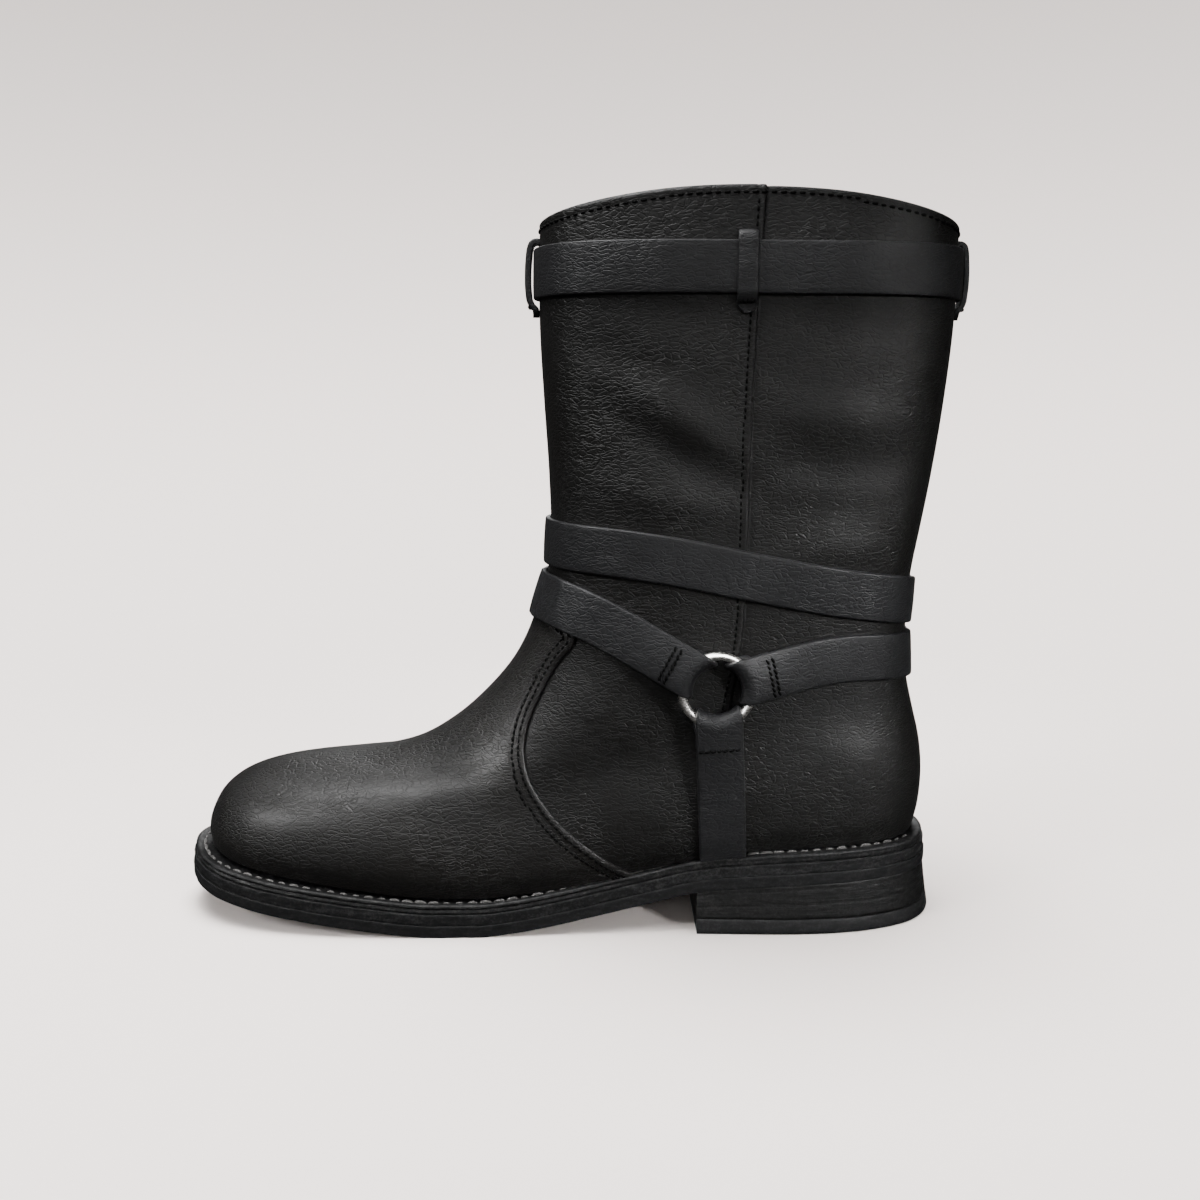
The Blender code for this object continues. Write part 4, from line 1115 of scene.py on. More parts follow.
def search_tree(*pieces):
    """A search tree over the faces of some pieces, in millimetres."""
    points = []
    faces = []
    for piece in pieces:
        start = len(points)
        corners = np.empty(len(piece.data.vertices) * 3)
        piece.data.vertices.foreach_get("co", corners)
        points += (corners.reshape(-1, 3) / MM + MIDDLE).tolist()
        faces += [[corner + start for corner in polygon.vertices] for polygon in piece.data.polygons]
    return BVHTree.FromPolygons(points, faces)


def first_hit(tree, start, direction):
    """First point of the pieces along a ray."""
    return np.array(tree.ray_cast(Vector(start), Vector(direction))[0])


def way_out(degrees):
    """The level way out from the shaft's axis at an angle."""
    return np.array((math.cos(math.radians(degrees)), math.sin(math.radians(degrees)), 0.0))


def reach(tree, degrees, z):
    """Outermost point of the pieces seen from the shaft's axis at an angle and a height."""
    out = way_out(degrees)
    return first_hit(tree, np.array((*SHAFT_AXIS, z)) + out * RAY_START, -out)


def angle_of(point):
    """Angle of a point round the shaft's axis, in degrees."""
    return math.degrees(math.atan2(point[1] - SHAFT_AXIS[1], point[0] - SHAFT_AXIS[0]))


def from_axis(points):
    """Distance of points from the shaft's axis."""
    return np.hypot(points[..., 0] - SHAFT_AXIS[0], points[..., 1] - SHAFT_AXIS[1])


BODY = search_tree(upper, vamp)
print("front of the shaft at z = 200:", np.round(reach(BODY, 180.0, 200.0), 1))

# %% Pulling a strap taut
TAUT_SPANS = (16, 8, 4, 2, 1)


def pull_taut(line, closed):
    """Push the points of a line out to the chords between their neighbours, as a taut strap lies."""
    line = line.copy()
    count = len(line)
    index = np.arange(count)
    for span in TAUT_SPANS * 2:
        before, after = index - span, index + span
        inside = np.ones(count, dtype=bool) if closed else (before >= 0) & (after < count)
        first = line[before % count, :2] - SHAFT_AXIS
        second = line[after % count, :2] - SHAFT_AXIS
        here = line[:, :2] - SHAFT_AXIS
        chord = second - first
        cross_chord = here[:, 0] * chord[:, 1] - here[:, 1] * chord[:, 0]
        cross_first = first[:, 0] * chord[:, 1] - first[:, 1] * chord[:, 0]
        scale = np.where(inside, np.maximum(cross_first / cross_chord, 1.0), 1.0)
        line[:, :2] = SHAFT_AXIS + here * scale[:, None]
    return line


def lay_band(tree, angles, heights, width, closed):
    """Rows of a band laid on the boot, each straight from its lower to its upper edge."""
    middle = np.array([reach(tree, angle, z) for angle, z in zip(angles, heights)])
    along = np.gradient(middle, axis=0)
    if closed:
        along = np.roll(middle, -2, axis=0) - np.roll(middle, 2, axis=0)
    along /= np.linalg.norm(along, axis=1)[:, None]
    out = np.column_stack((along[:, 1], -along[:, 0], np.zeros(len(along))))
    out /= np.linalg.norm(out, axis=1)[:, None]
    out *= np.sign(np.sum(out[:, :2] * (middle[:, :2] - SHAFT_AXIS), axis=1))[:, None]
    upwards = np.cross(out, along)
    upwards *= np.sign(upwards[:, 2])[:, None]
    edges = []
    for half in (-0.5, 0.5):
        edge = middle + upwards * (half * width)
        seat = np.array([reach(tree, angle_of(point), point[2]) for point in edge])
        edges.append(pull_taut(seat, closed))
    shares = np.linspace(0.0, 1.0, 5)[None, :, None]
    rows = edges[0][:, None, :] * (1 - shares) + edges[1][:, None, :] * shares
    for _ in range(2):
        seats = np.array([[reach(tree, angle_of(point), point[2]) for point in row] for row in rows])
        short = np.maximum(from_axis(seats) + STRAP_GAP - from_axis(rows), 0.0).max(axis=1)
        rows = rows + out[:, None, :] * short[:, None, None]
    return rows


print("straps are laid with spans of", TAUT_SPANS)

# %% Cross-section of a strap
EDGE_ROUND = 0.75
UNDER_ROUND = 0.3
CROWN = 0.18
STRAP_DENT_SIZE = 6.0
STRAP_DENTS = 0.08


def strap_profile(width, thick):
    """Places across a strap and heights over its base, once round its cross-section."""
    half = width / 2
    turns = [(math.sin(turn), math.cos(turn)) for turn in np.radians(np.linspace(0.0, 90.0, 5))]
    side = [(half - UNDER_ROUND * (1 - sine), UNDER_ROUND * (1 - cosine)) for sine, cosine in turns]
    side += [(half - EDGE_ROUND * (1 - cosine), thick - EDGE_ROUND * (1 - sine)) for sine, cosine in turns]
    places = np.linspace(half - EDGE_ROUND, EDGE_ROUND - half, 13)[1:-1]
    face = [(place, thick + CROWN * (1 - (place / half) ** 2)) for place in places]
    back = [(place, 0.0) for place in np.linspace(UNDER_ROUND - half, half - UNDER_ROUND, 7)[1:-1]]
    return np.array(side + face + [(-place, height) for place, height in side[::-1]] + back)


def sweep_strap(rows, width, thick, closed=False, width_shares=None):
    """Points and faces of a strap whose underside follows rows of points."""
    along = np.gradient(rows, axis=0)
    if closed:
        along = np.roll(rows, -1, axis=0) - np.roll(rows, 1, axis=0)
    outward = np.cross(along, np.gradient(rows, axis=1))
    outward /= np.linalg.norm(outward, axis=2)[:, :, None]
    count, cols = rows.shape[:2]
    centre = rows[count // 2, cols // 2]
    if (centre[:2] - SHAFT_AXIS) @ outward[count // 2, cols // 2, :2] < 0.0:
        outward = -outward
    place, height = strap_profile(width, thick).T
    shares = np.ones(count) if width_shares is None else width_shares
    spot = (place[None, :] * shares[:, None] / width + 0.5) * (cols - 1)
    left = np.clip(np.floor(spot).astype(int), 0, cols - 2)
    share = (spot - left)[..., None]
    each = np.arange(count)[:, None]
    base = rows[each, left] * (1 - share) + rows[each, left + 1] * share
    facing = outward[each, left] * (1 - share) + outward[each, left + 1] * share
    points = base + facing * height[None, :, None]
    points = points + facing * (soft_noise(points, STRAP_DENT_SIZE) * STRAP_DENTS)[..., None]
    ring = len(place)
    faces = grid_quads(count, ring, close_rows=closed, close_cols=True)
    if not closed:
        faces += [list(range(ring)), list(range(count * ring - 1, (count - 1) * ring - 1, -1))]
    return points, faces


def add_strap(name, node, rows, width, thick, closed=False, width_shares=None):
    """A strap of charcoal leather along rows of points."""
    points, faces = sweep_strap(rows, width, thick, closed, width_shares)
    return add_piece(name, points, faces, STRAP_LEATHER, (node,))


print("points round a strap:", len(strap_profile(1.0, 1.0)))

# %% [markdown]
# ## Top belt and ankle strap
# Two closed bands go round the leg: a level belt under the collar, and an ankle strap that falls from
# the instep to the heel. Both are the same on the two sides. Each is swept with one cross-section, with
# edges rounded where a maker would burnish them.

# %% Belt and ankle strap
STRAP_WIDTH = 18.0
STRAP_THICK = 2.0
BELT_WIDTH = 18.6
BAND_COUNT = 240
TOP_BELT_LINE = (
    # degrees from the back, z
    (0.0, 250.4),
    (90.0, 251.0),
    (180.0, 251.4),
)
ANKLE_STRAP_LINE = (
    # degrees from the back, z
    (0.0, 126.0),
    (10.0, 127.4),
    (35.0, 132.2),
    (54.0, 135.6),
    (90.0, 140.4),
    (110.0, 143.0),
    (132.0, 146.2),
    (147.0, 148.2),
    (165.0, 149.5),
    (180.0, 149.8),
)


def add_band(name, node, line, width):
    """A closed band round the leg."""
    angles = np.linspace(0.0, 360.0, BAND_COUNT, endpoint=False)
    degrees, heights = columns(line)
    z = smooth_through(degrees, heights, np.where(angles > 180.0, 360.0 - angles, angles))
    rows = lay_band(BODY, angles, z, width, closed=True)
    return add_strap(name, node, rows, width, STRAP_THICK, closed=True)


top_belt = add_band("top_belt_strap", "top_belt", TOP_BELT_LINE, BELT_WIDTH)
ankle_strap = add_band("ankle_strap_band", "ankle_strap", ANKLE_STRAP_LINE, STRAP_WIDTH)
print("belt and ankle strap points:", len(top_belt.data.vertices), len(ankle_strap.data.vertices))

# %% [markdown]
# ## Harness rings and straps
# A nickel ring lies on each side of the ankle. Three straps fold round its wire: one goes round the
# instep, one round the heel and one down to the welt. At each fold the leather turns back under itself
# and is sewn, so the path of a strap begins at its tail, goes round the wire and then leaves along the
# boot.

# %% Rings
RING_RADIUS = 13.2
RING_WIRE = 1.65
RING_LIFT = 4.7
RING_PLACE = (58.6, 97.4)
FOLD_END = 24.0
SIDE_RAY_START = 120.0
RING_SEGMENTS = 112
WIRE_SEGMENTS = 24


def ring_frame(side):
    """Place of a ring on one side: its middle, and the ways out, back and up from it."""
    sideways = np.array((0.0, side, 0.0))

    def seat(dx, dz):
        return first_hit(BODY, (RING_PLACE[0] + dx, side * SIDE_RAY_START, RING_PLACE[1] + dz), -sideways)

    back = seat(RING_RADIUS, 0.0) - seat(-RING_RADIUS, 0.0)
    back /= np.linalg.norm(back)
    up = seat(0.0, RING_RADIUS) - seat(0.0, -FOLD_END)
    out = np.cross(back, up) * -side
    out /= np.linalg.norm(out)
    up = np.cross(out, back) * -side
    seats = [seat(dx, dz) for dx in (-RING_RADIUS, 0.0, RING_RADIUS)
             for dz in (-FOLD_END, -RING_RADIUS, 0.0, RING_RADIUS)]
    middle = seat(0.0, 0.0)
    middle = middle + out * (max(point @ out for point in seats) - middle @ out + RING_LIFT)
    return middle, out, back, up


def add_ring(name, node, placed):
    """A ring of round wire."""
    middle, out, back, up = placed
    turn = np.linspace(0.0, 2 * math.pi, RING_SEGMENTS, endpoint=False)[:, None, None]
    roll = np.linspace(0.0, 2 * math.pi, WIRE_SEGMENTS, endpoint=False)[None, :, None]
    spoke = back * np.cos(turn) + up * np.sin(turn)
    points = middle + spoke * (RING_RADIUS + RING_WIRE * np.cos(roll)) + out * (RING_WIRE * np.sin(roll))
    faces = grid_quads(RING_SEGMENTS, WIRE_SEGMENTS, close_rows=True, close_cols=True)
    return add_piece(name, points, faces, NICKEL, (node,))


FRAMES = {side: ring_frame(side) for side in (-1, 1)}
ring_inner = add_ring("nickel_ring_inner", "harness_ring_inner", FRAMES[-1])
ring_outer = add_ring("nickel_ring_outer", "harness_ring_outer", FRAMES[1])
for side, node in ((-1, "harness_ring_inner"), (1, "harness_ring_outer")):
    low, high = (np.array(corner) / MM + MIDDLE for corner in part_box(node))
    print(node, "off its solid by", np.round(FRAMES[side][0] - (low + high) / 2, 2), "mm")

# %% Ends of the straps, folded round the rings
FRONT_STRAP_ANGLE = 151.0
BACK_STRAP_ANGLE = 14.0
SIDE_STRAP_ANGLE = 273.1
STRAP_COLUMNS = 13
STRAP_STEP = 0.8
WIRE_GAP = 0.3
TAIL_GAP = 0.25
PINCH = 0.97
FOLD_SHIFT = 1.0
FOLD_TURNS = np.radians(np.linspace(180.0, 0.0, 13))
TAIL_STEPS = (0.0, 3.0, 6.0)


def strap_way(placed, degrees):
    """The ways along and across a strap that leaves a ring."""
    _middle, out, back, up = placed
    way = back * math.cos(math.radians(degrees)) + up * math.sin(math.radians(degrees))
    across = np.cross(way, out)
    return way, across * (1.0 if across @ (up + back * 0.2) > 0.0 else -1.0)


def even_rows(rows, step=STRAP_STEP):
    """Rows every step along a strap, smooth through the rows given."""
    lengths = lengths_along(rows[:, rows.shape[1] // 2])
    return smooth_through(lengths, rows, np.linspace(0.0, lengths[-1], max(3, int(lengths[-1] / step))))


def widen(rows):
    """Rows with more columns, straight across."""
    shares = np.linspace(0.0, 1.0, STRAP_COLUMNS)[None, :, None]
    return rows[:, :1] * (1 - shares) + rows[:, -1:] * shares


def wire_row(placed, degrees, radius, lift):
    """A row of a strap along the ring's wire, at a radius and a height over the ring's plane."""
    middle, out = placed[:2]
    way, across = strap_way(placed, degrees)
    shift = 0.0 if degrees == SIDE_STRAP_ANGLE else FOLD_SHIFT
    places = np.linspace(-0.5, 0.5, STRAP_COLUMNS) * STRAP_WIDTH * PINCH + shift
    along = np.sqrt(radius ** 2 - places ** 2)
    return middle + way * along[:, None] + across * places[:, None] + out * lift


def fold_over_wire(placed, degrees, leg):
    """Rows of a strap's end: a tail under the leg, then round the wire to where the leg begins."""
    middle, out = placed[:2]
    way = strap_way(placed, degrees)[0]
    hold = RING_WIRE + WIRE_GAP
    tail = []
    for step in TAIL_STEPS:
        nearest = np.argmin(np.abs((leg[:, STRAP_COLUMNS // 2] - middle) @ way - (FOLD_END - step)))
        tail.append(leg[nearest] - out * TAIL_GAP)
    wire = [wire_row(placed, degrees, RING_RADIUS - hold * math.sin(turn), hold * math.cos(turn))
            for turn in FOLD_TURNS]
    return np.array(tail + wire)


def wire_top(placed, degrees):
    """The row along the top of the wire, where a strap's leg begins."""
    return wire_row(placed, degrees, RING_RADIUS, RING_WIRE + WIRE_GAP)


print("rows round the wire:", len(FOLD_TURNS))

# %% Straps round the instep and the heel
STRAP_LANDING = 37.0
LANDING_ROWS = 7
LEG_REACH = 45.0
LEG_ROWS = int(LEG_REACH / STRAP_STEP)
TAUT_STEP = 2.0
HARNESS_FRONT_LINE = (
    # degrees from the back, z
    (116.0, 103.4),
    (131.0, 110.0),
    (139.5, 114.6),
    (147.0, 119.1),
    (154.0, 123.2),
    (162.0, 126.8),
    (180.0, 128.6),
)
HARNESS_BACK_LINE = (
    # degrees from the back, z
    (0.0, 104.6),
    (12.0, 106.0),
    (34.0, 107.6),
    (53.0, 106.0),
    (73.0, 103.4),
)


def add_harness_strap(name, node, line, ring_angle, behind):
    """A strap from one ring round the front or the back to the other ring, taut between them."""
    landings = {}
    for side in (-1, 1):
        way = strap_way(FRAMES[side], ring_angle)[0]
        landings[side] = abs(angle_of(FRAMES[side][0] + way * STRAP_LANDING))
    start = -landings[-1] if behind else 360.0 - landings[-1]
    angles = np.linspace(start, landings[1], 61)
    degrees, heights = columns(line)
    z = smooth_through(degrees, heights, np.abs(np.where(angles > 180.0, 360.0 - angles, angles)))
    band = widen(lay_band(BODY, angles, z, STRAP_WIDTH, closed=False))[LANDING_ROWS:-LANDING_ROWS]
    tops = [wire_top(FRAMES[side], ring_angle) for side in (-1, 1)]
    rows = even_rows(np.vstack((tops[:1], band, tops[1:])), TAUT_STEP)
    for col in range(STRAP_COLUMNS):
        rows[:, col] = pull_taut(rows[:, col], closed=False)
    rows = even_rows(rows)
    folds = []
    for side, leg in ((-1, rows), (1, rows[::-1])):
        folds.append(fold_over_wire(FRAMES[side], ring_angle, leg[:LEG_ROWS])[:-1])
    whole = np.vstack((folds[0], rows, folds[1][::-1]))
    return add_strap(name, node, even_rows(whole), STRAP_WIDTH, STRAP_THICK)


front_strap = add_harness_strap("instep_strap", "harness_front_strap", HARNESS_FRONT_LINE,
                                FRONT_STRAP_ANGLE, behind=False)
back_strap = add_harness_strap("heel_strap", "harness_back_strap", HARNESS_BACK_LINE,
                               BACK_STRAP_ANGLE, behind=True)
print("harness strap points:", len(front_strap.data.vertices), len(back_strap.data.vertices))

# %% Straps down to the welt
STRAP_FOOT_GAP = 0.8
SIDE_RAY_RISE = 2.5
SIDE_ROWS = 25


def add_side_strap(name, node, placed, side):
    """A strap from a ring down the side of the boot to the welt, straight over the hollows."""
    middle = placed[0]
    top = wire_top(placed, SIDE_STRAP_ANGLE)
    turned = top[-1, 0] < top[0, 0]
    if turned:
        top = top[::-1]
    lean = -1.0 / math.tan(math.radians(SIDE_STRAP_ANGLE))
    offsets = np.linspace(-0.5, 0.5, STRAP_COLUMNS) * STRAP_WIDTH
    foot_x = middle[0] + lean * (middle[2] - welt_top(middle[0]))
    heights = np.linspace(middle[2] - STRAP_LANDING, welt_top(foot_x) + STRAP_FOOT_GAP, SIDE_ROWS)
    rows = [top]
    for height in heights:
        x = middle[0] + lean * (middle[2] - height) + offsets
        z = welt_top(x) + STRAP_FOOT_GAP if height == heights[-1] else np.full(len(x), height)
        seats = []
        for place, level in zip(x, np.maximum(z, welt_top(x) + SIDE_RAY_RISE)):
            hit = first_hit(BODY, (place, side * SIDE_RAY_START, level), (0.0, -side, 0.0))
            seats.append(hit[1] * side)
        straight = np.linspace(seats[0], seats[-1], len(seats))
        y = straight + np.maximum(np.array(seats) - straight, 0.0).max() + STRAP_GAP
        rows.append(np.column_stack((x, y * side, z)))
    rows = even_rows(np.array(rows), TAUT_STEP)
    far = rows[:, :, 1] * side
    for first in range(len(rows) - 2):
        for last in range(first + 2, len(rows)):
            shares = np.linspace(0.0, 1.0, last - first + 1)[1:-1, None]
            chord = far[first] * (1 - shares) + far[last] * shares
            far[first + 1:last] = np.maximum(far[first + 1:last], chord)
    rows[:, :, 1] = far * side
    rows = even_rows(rows)
    if turned:
        rows = rows[:, ::-1]
    fold = fold_over_wire(placed, SIDE_STRAP_ANGLE, rows[:LEG_ROWS])
    return add_strap(name, node, even_rows(np.vstack((fold[:-1], rows))), STRAP_WIDTH, STRAP_THICK)


side_strap_inner = add_side_strap("side_strap_inner", "harness_side_strap_inner", FRAMES[-1], -1)
side_strap_outer = add_side_strap("side_strap_outer", "harness_side_strap_outer", FRAMES[1], 1)
print("side strap points:", len(side_strap_inner.data.vertices), len(side_strap_outer.data.vertices))

# %% [markdown]
# ## Belt loops
# Four narrow leather loops hold the belt. Each is sewn to the shaft above and below it and stands off a
# little where it bends over the belt's edges. The lower end is cut round.

# %% Loops
LOOP_WIDTH = 7.4
LOOP_TIP = 3.7
LOOP_TIP_NARROW = 0.93
LOOP_STEP = 0.4
ON_BELT = 0.45
BELT_LOOPS = (
    # side, degrees round the shaft, slack over the belt, thickness
    ("back", 0.0, 0.6, 2.2),
    ("outer", 91.0, 0.2, 1.5),
    ("front", 180.0, 0.7, 2.2),
    ("inner", -91.0, 0.2, 1.5),
)
LOOP_PATH = (
    # belt edge (1 upper, -1 lower), distance past it, share of the way out over the belt, share of the slack
    (1, 1.6, 0.0, 0.0),
    (1, 1.9, 0.35, 0.0),
    (1, 1.5, 0.8, 0.0),
    (1, 0.2, 1.0, 0.1),
    (1, -3.0, 1.0, 0.6),
    (1, -9.3, 1.0, 1.0),
    (-1, -3.0, 1.0, 0.6),
    (-1, 0.0, 1.0, 0.1),
    (-1, 1.5, 0.7, 0.0),
    (-1, 2.8, 0.15, 0.0),
    (-1, 4.4, 0.0, 0.0),
    (-1, 6.6, 0.0, 0.0),
)


def belt_height(degrees):
    """Height of the belt's middle at an angle round the shaft."""
    return float(np.interp(abs(degrees), *columns(TOP_BELT_LINE)))


def add_loop(side_name, degrees, slack, thick):
    """A loop over the belt, level across its width."""
    out = way_out(degrees)
    across = np.array((-out[1], out[0], 0.0))
    axis = np.array((*SHAFT_AXIS, 0.0))
    offsets = np.linspace(-0.5, 0.5, 5) * LOOP_WIDTH
    belt_z = belt_height(degrees)

    def level(tree, z):
        starts = [axis + across * offset + out * RAY_START + (0.0, 0.0, z) for offset in offsets]
        return max((first_hit(tree, start, -out) - axis) @ out for start in starts)

    path = []
    on_belt = ON_BELT * BELT_WIDTH
    for edge, past, over_share, share in LOOP_PATH:
        z = belt_z + edge * (BELT_WIDTH / 2 + past)
        on_shaft = level(BODY, z)
        over = level(BELTED, belt_z + min(max(z - belt_z, -on_belt), on_belt))
        path.append((on_shaft + (over - on_shaft) * over_share + STRAP_GAP + slack * share, z))
    path = along_path(path, LOOP_STEP)
    spine = axis + out * path[:, :1, None] + (0.0, 0.0, 1.0) * path[:, 1:, None]
    rows = spine + across * offsets[None, :, None]
    narrow = np.clip(1.0 - lengths_along(path[::-1])[::-1] / LOOP_TIP, 0.0, LOOP_TIP_NARROW)
    return add_strap("loop_" + side_name, "belt_loop_" + side_name, rows, LOOP_WIDTH, thick,
                     width_shares=np.sqrt(1.0 - narrow ** 2))


BELTED = search_tree(upper, top_belt)
loops = [add_loop(*row) for row in BELT_LOOPS]
print("loops:", [loop.name for loop in loops])

# %% [markdown]
# ## Stitches
# Rows of thread hold everything: along the collar, the side seams, the edge of the vamp, the welt and
# the strap ends. Each stitch is a short bar whose ends dip into the leather. All stitches of a row are
# one mesh, because hundreds of single objects would be slow and hard to handle.

# %% Rows of stitches
STITCH_SHAPE = (
    # place along the stitch, share of its radius
    (-1.0, 0.4),
    (-0.75, 0.85),
    (-0.3, 1.0),
    (0.3, 1.0),
    (0.75, 0.85),
    (1.0, 0.4),
)
STITCH_SIDES = 7
STITCH_RISE = (0.5, 0.9)


def row_points(path, pitch):
    """Points every pitch along a path of straight pieces."""
    lengths = lengths_along(path)
    places = np.arange(pitch / 2, lengths[-1], pitch)
    return np.column_stack([np.interp(places, lengths, path[:, axis]) for axis in range(3)])


def sew(name, paths, tree, pitch, length, radius, thread, slot, slant=0.0, vary=0.1):
    """Stitches along paths, laid on the surface under them."""
    spots = []
    alongs = []
    outwards = []
    for path in paths:
        points = row_points(np.asarray(path), pitch)
        along = np.gradient(points, axis=0)
        for point, way in zip(points, along):
            place, normal = tree.find_nearest(Vector(point))[:2]
            normal = np.array(normal) * np.sign((point - np.array(place)) @ np.array(normal))
            way = way - normal * (way @ normal)
            way /= np.linalg.norm(way)
            spots.append(np.array(place))
            alongs.append(way * math.cos(slant) + np.cross(normal, way) * math.sin(slant))
            outwards.append(normal)
    spots, alongs, outwards = np.array(spots), np.array(alongs), np.array(outwards)
    across = np.cross(outwards, alongs)
    turn = np.linspace(0.0, 2 * math.pi, STITCH_SIDES, endpoint=False)[None, None, :, None]
    place, share = (column[None, :, None, None] for column in columns(STITCH_SHAPE))
    size = np.random.default_rng(len(spots)).uniform(1.0 - vary, 1.0 + vary, len(spots))[:, None, None, None]
    radius = radius * size
    centre = (spots[:, None, None] + alongs[:, None, None] * place * size * length / 2
              + outwards[:, None, None] * radius * (STITCH_RISE[0] - STITCH_RISE[1] * place ** 4))
    spokes = across[:, None, None] * np.cos(turn) + outwards[:, None, None] * np.sin(turn)
    points = centre + spokes * share * radius
    count = len(STITCH_SHAPE) * STITCH_SIDES
    one = grid_quads(len(STITCH_SHAPE), STITCH_SIDES, close_cols=True)
    one += [list(range(STITCH_SIDES))[::-1], list(range(count - STITCH_SIDES, count))]
    faces = [[corner + count * index for corner in face] for index in range(len(spots)) for face in one]
    return add_piece(name, points, faces, thread)


print("one stitch has", len(STITCH_SHAPE) * STITCH_SIDES, "points")

# %% Stitches of the collar, the side seams and the vamp
ABOVE = 2.0
COLLAR_STEP = 0.03
SEAM_STEP = 0.01
SEAM_SPAN = (0.08, 0.988)
SEAM_POINTS = 200
VAMP_ROW_SPAN = slice(2, -8)
# each stitch: pitch, length, radius
COLLAR_STITCH = (3.3, 2.2, 0.5)
SEAM_STITCH = (2.6, 2.0, 0.42)
VAMP_STITCH = (2.6, 2.0, 0.45)


def collar_row():
    """The path of the collar's stitches, round the whole shaft."""
    around = np.linspace(-2.0, 2.0, 500)
    top = read_upper(around, np.ones(len(around)))
    below = read_upper(around, np.full(len(around), 1.0 - COLLAR_STEP))
    steep = (top[:, 2] - below[:, 2]) / COLLAR_STEP
    points, outward = upper_surface(around, 1.0 - COLLAR_STITCH_DROP / steep)
    return points + outward * ABOVE


def seam_row(side):
    """The path of the stitches in front of a side seam."""
    up = np.linspace(*SEAM_SPAN, SEAM_POINTS)
    seam = np.full(SEAM_POINTS, 1.0 * side)
    steps = read_upper(seam, up) - read_upper(seam * (1.0 - SEAM_STEP), up)
    wide = np.linalg.norm(steps, axis=1) / SEAM_STEP
    points, outward = upper_surface((1.0 - SEAM_STITCH_SETBACK / wide) * side, up)
    return points + outward * ABOVE


def vamp_row(side, setback):
    """The path of a row of stitches behind the vamp's edge."""
    points, outward = upper_surface(fine_around * side, fine_up)
    along = np.gradient(points, axis=0)
    along /= np.linalg.norm(along, axis=1)[:, None]
    inwards = np.cross(outward, along)
    inwards *= np.where(inwards[:, :1] > 0.0, -1.0, 1.0)
    return (points + inwards * setback + outward * (VAMP_LIFT + ABOVE))[VAMP_ROW_SPAN]


SKIN = search_tree(upper)
VAMP_SKIN = search_tree(vamp)
collar_stitches = sew("collar_stitches", [collar_row()], SKIN, *COLLAR_STITCH, BLACK_THREAD, "black_leather")
seam_stitches = sew("side_seam_stitches", [seam_row(-1), seam_row(1)], SKIN, *SEAM_STITCH, BLACK_THREAD,
                    "black_leather")
vamp_paths = [vamp_row(side, setback) for side in (-1, 1) for setback in VAMP_ROWS_OF_STITCHES]
vamp_stitches = sew("vamp_stitches", vamp_paths, VAMP_SKIN, *VAMP_STITCH, BLACK_THREAD, "black_leather")
print("stitch meshes:", [piece.name for piece in (collar_stitches, seam_stitches, vamp_stitches)])

# %% Stitches of the welt
WELT_STITCH_INSET = 4.6
WELT_STITCH = (5.0, 3.7, 0.5)
WELT_STITCH_ENDS = (42.0, 66.0, 138.0)
WELT_STITCH_VARY = 0.4
welt_line = sole_outline(WELT_INSET + WELT_STITCH_INSET)
welt_path = np.column_stack((welt_line, welt_top(welt_line[:, 0]) + ABOVE))
half_way = len(welt_path) // 2
welt_paths = []
for run in (welt_path[:half_way], welt_path[half_way:]):
    x = run[:, 0]
    welt_paths.append(run[x < WELT_STITCH_ENDS[0]])
    welt_paths.append(run[(x > WELT_STITCH_ENDS[1]) & (x < WELT_STITCH_ENDS[2])])
welt_stitches = sew("welt_stitches", welt_paths, search_tree(welt), *WELT_STITCH, WELT_THREAD, "sole_edge",
                    vary=WELT_STITCH_VARY)
print("welt stitches:", len(welt_stitches.data.vertices) // (len(STITCH_SHAPE) * STITCH_SIDES))

# %% Stitches of the strap ends and the loops
STRAP_STITCH_WIDTH = 16.4
STRAP_ROWS = (
    # direction from the ring, distances of the rows from the ring's middle
    (FRONT_STRAP_ANGLE, (20.5, 23.0)),
    (BACK_STRAP_ANGLE, (21.0, 23.2)),
    (SIDE_STRAP_ANGLE, (22.6,)),
)
LOOP_STITCH_DROP = 13.0
LOOP_STITCH_WIDTH = 6.0
# each stitch: pitch, length, radius
STRAP_STITCH = (2.3, 2.4, 0.5)
LOOP_STITCH = (1.4, 1.9, 0.42)
STRAP_STITCH_SLANT = 0.35
LOOP_STITCH_SLANT = 0.8
LOOPED = search_tree(*loops)
strap_paths = []
loop_paths = []
for side in (-1, 1):
    middle, out = FRAMES[side][:2]
    for degrees, distances in STRAP_ROWS:
        way, across = strap_way(FRAMES[side], degrees)
        for distance in distances:
            places = np.linspace(-0.5, 0.5, 30)[:, None] * STRAP_STITCH_WIDTH
            strap_paths.append(middle + way * distance + across * places + out * (STRAP_THICK + ABOVE))
for _side, degrees, _slack, _thick in BELT_LOOPS:
    spot = reach(LOOPED, degrees, belt_height(degrees) - LOOP_STITCH_DROP)
    out = way_out(degrees)
    across = np.array((-out[1], out[0], 0.0))
    places = np.linspace(-0.5, 0.5, 20)[:, None]
    loop_paths.append(spot + out * ABOVE + across * places * LOOP_STITCH_WIDTH)
STRAPS = search_tree(front_strap, back_strap, side_strap_inner, side_strap_outer)
strap_stitches = sew("strap_stitches", strap_paths, STRAPS, *STRAP_STITCH, BLACK_THREAD, "strap_leather",
                     STRAP_STITCH_SLANT)
loop_stitches = sew("loop_stitches", loop_paths, LOOPED, *LOOP_STITCH, BLACK_THREAD, "strap_leather",
                    LOOP_STITCH_SLANT)
print("stitch meshes:", [piece.name for piece in (strap_stitches, loop_stitches)])

# %% [markdown]
# ## Insole
# The insole's solid has the right shape already, so it stays and only gets a leather finish.

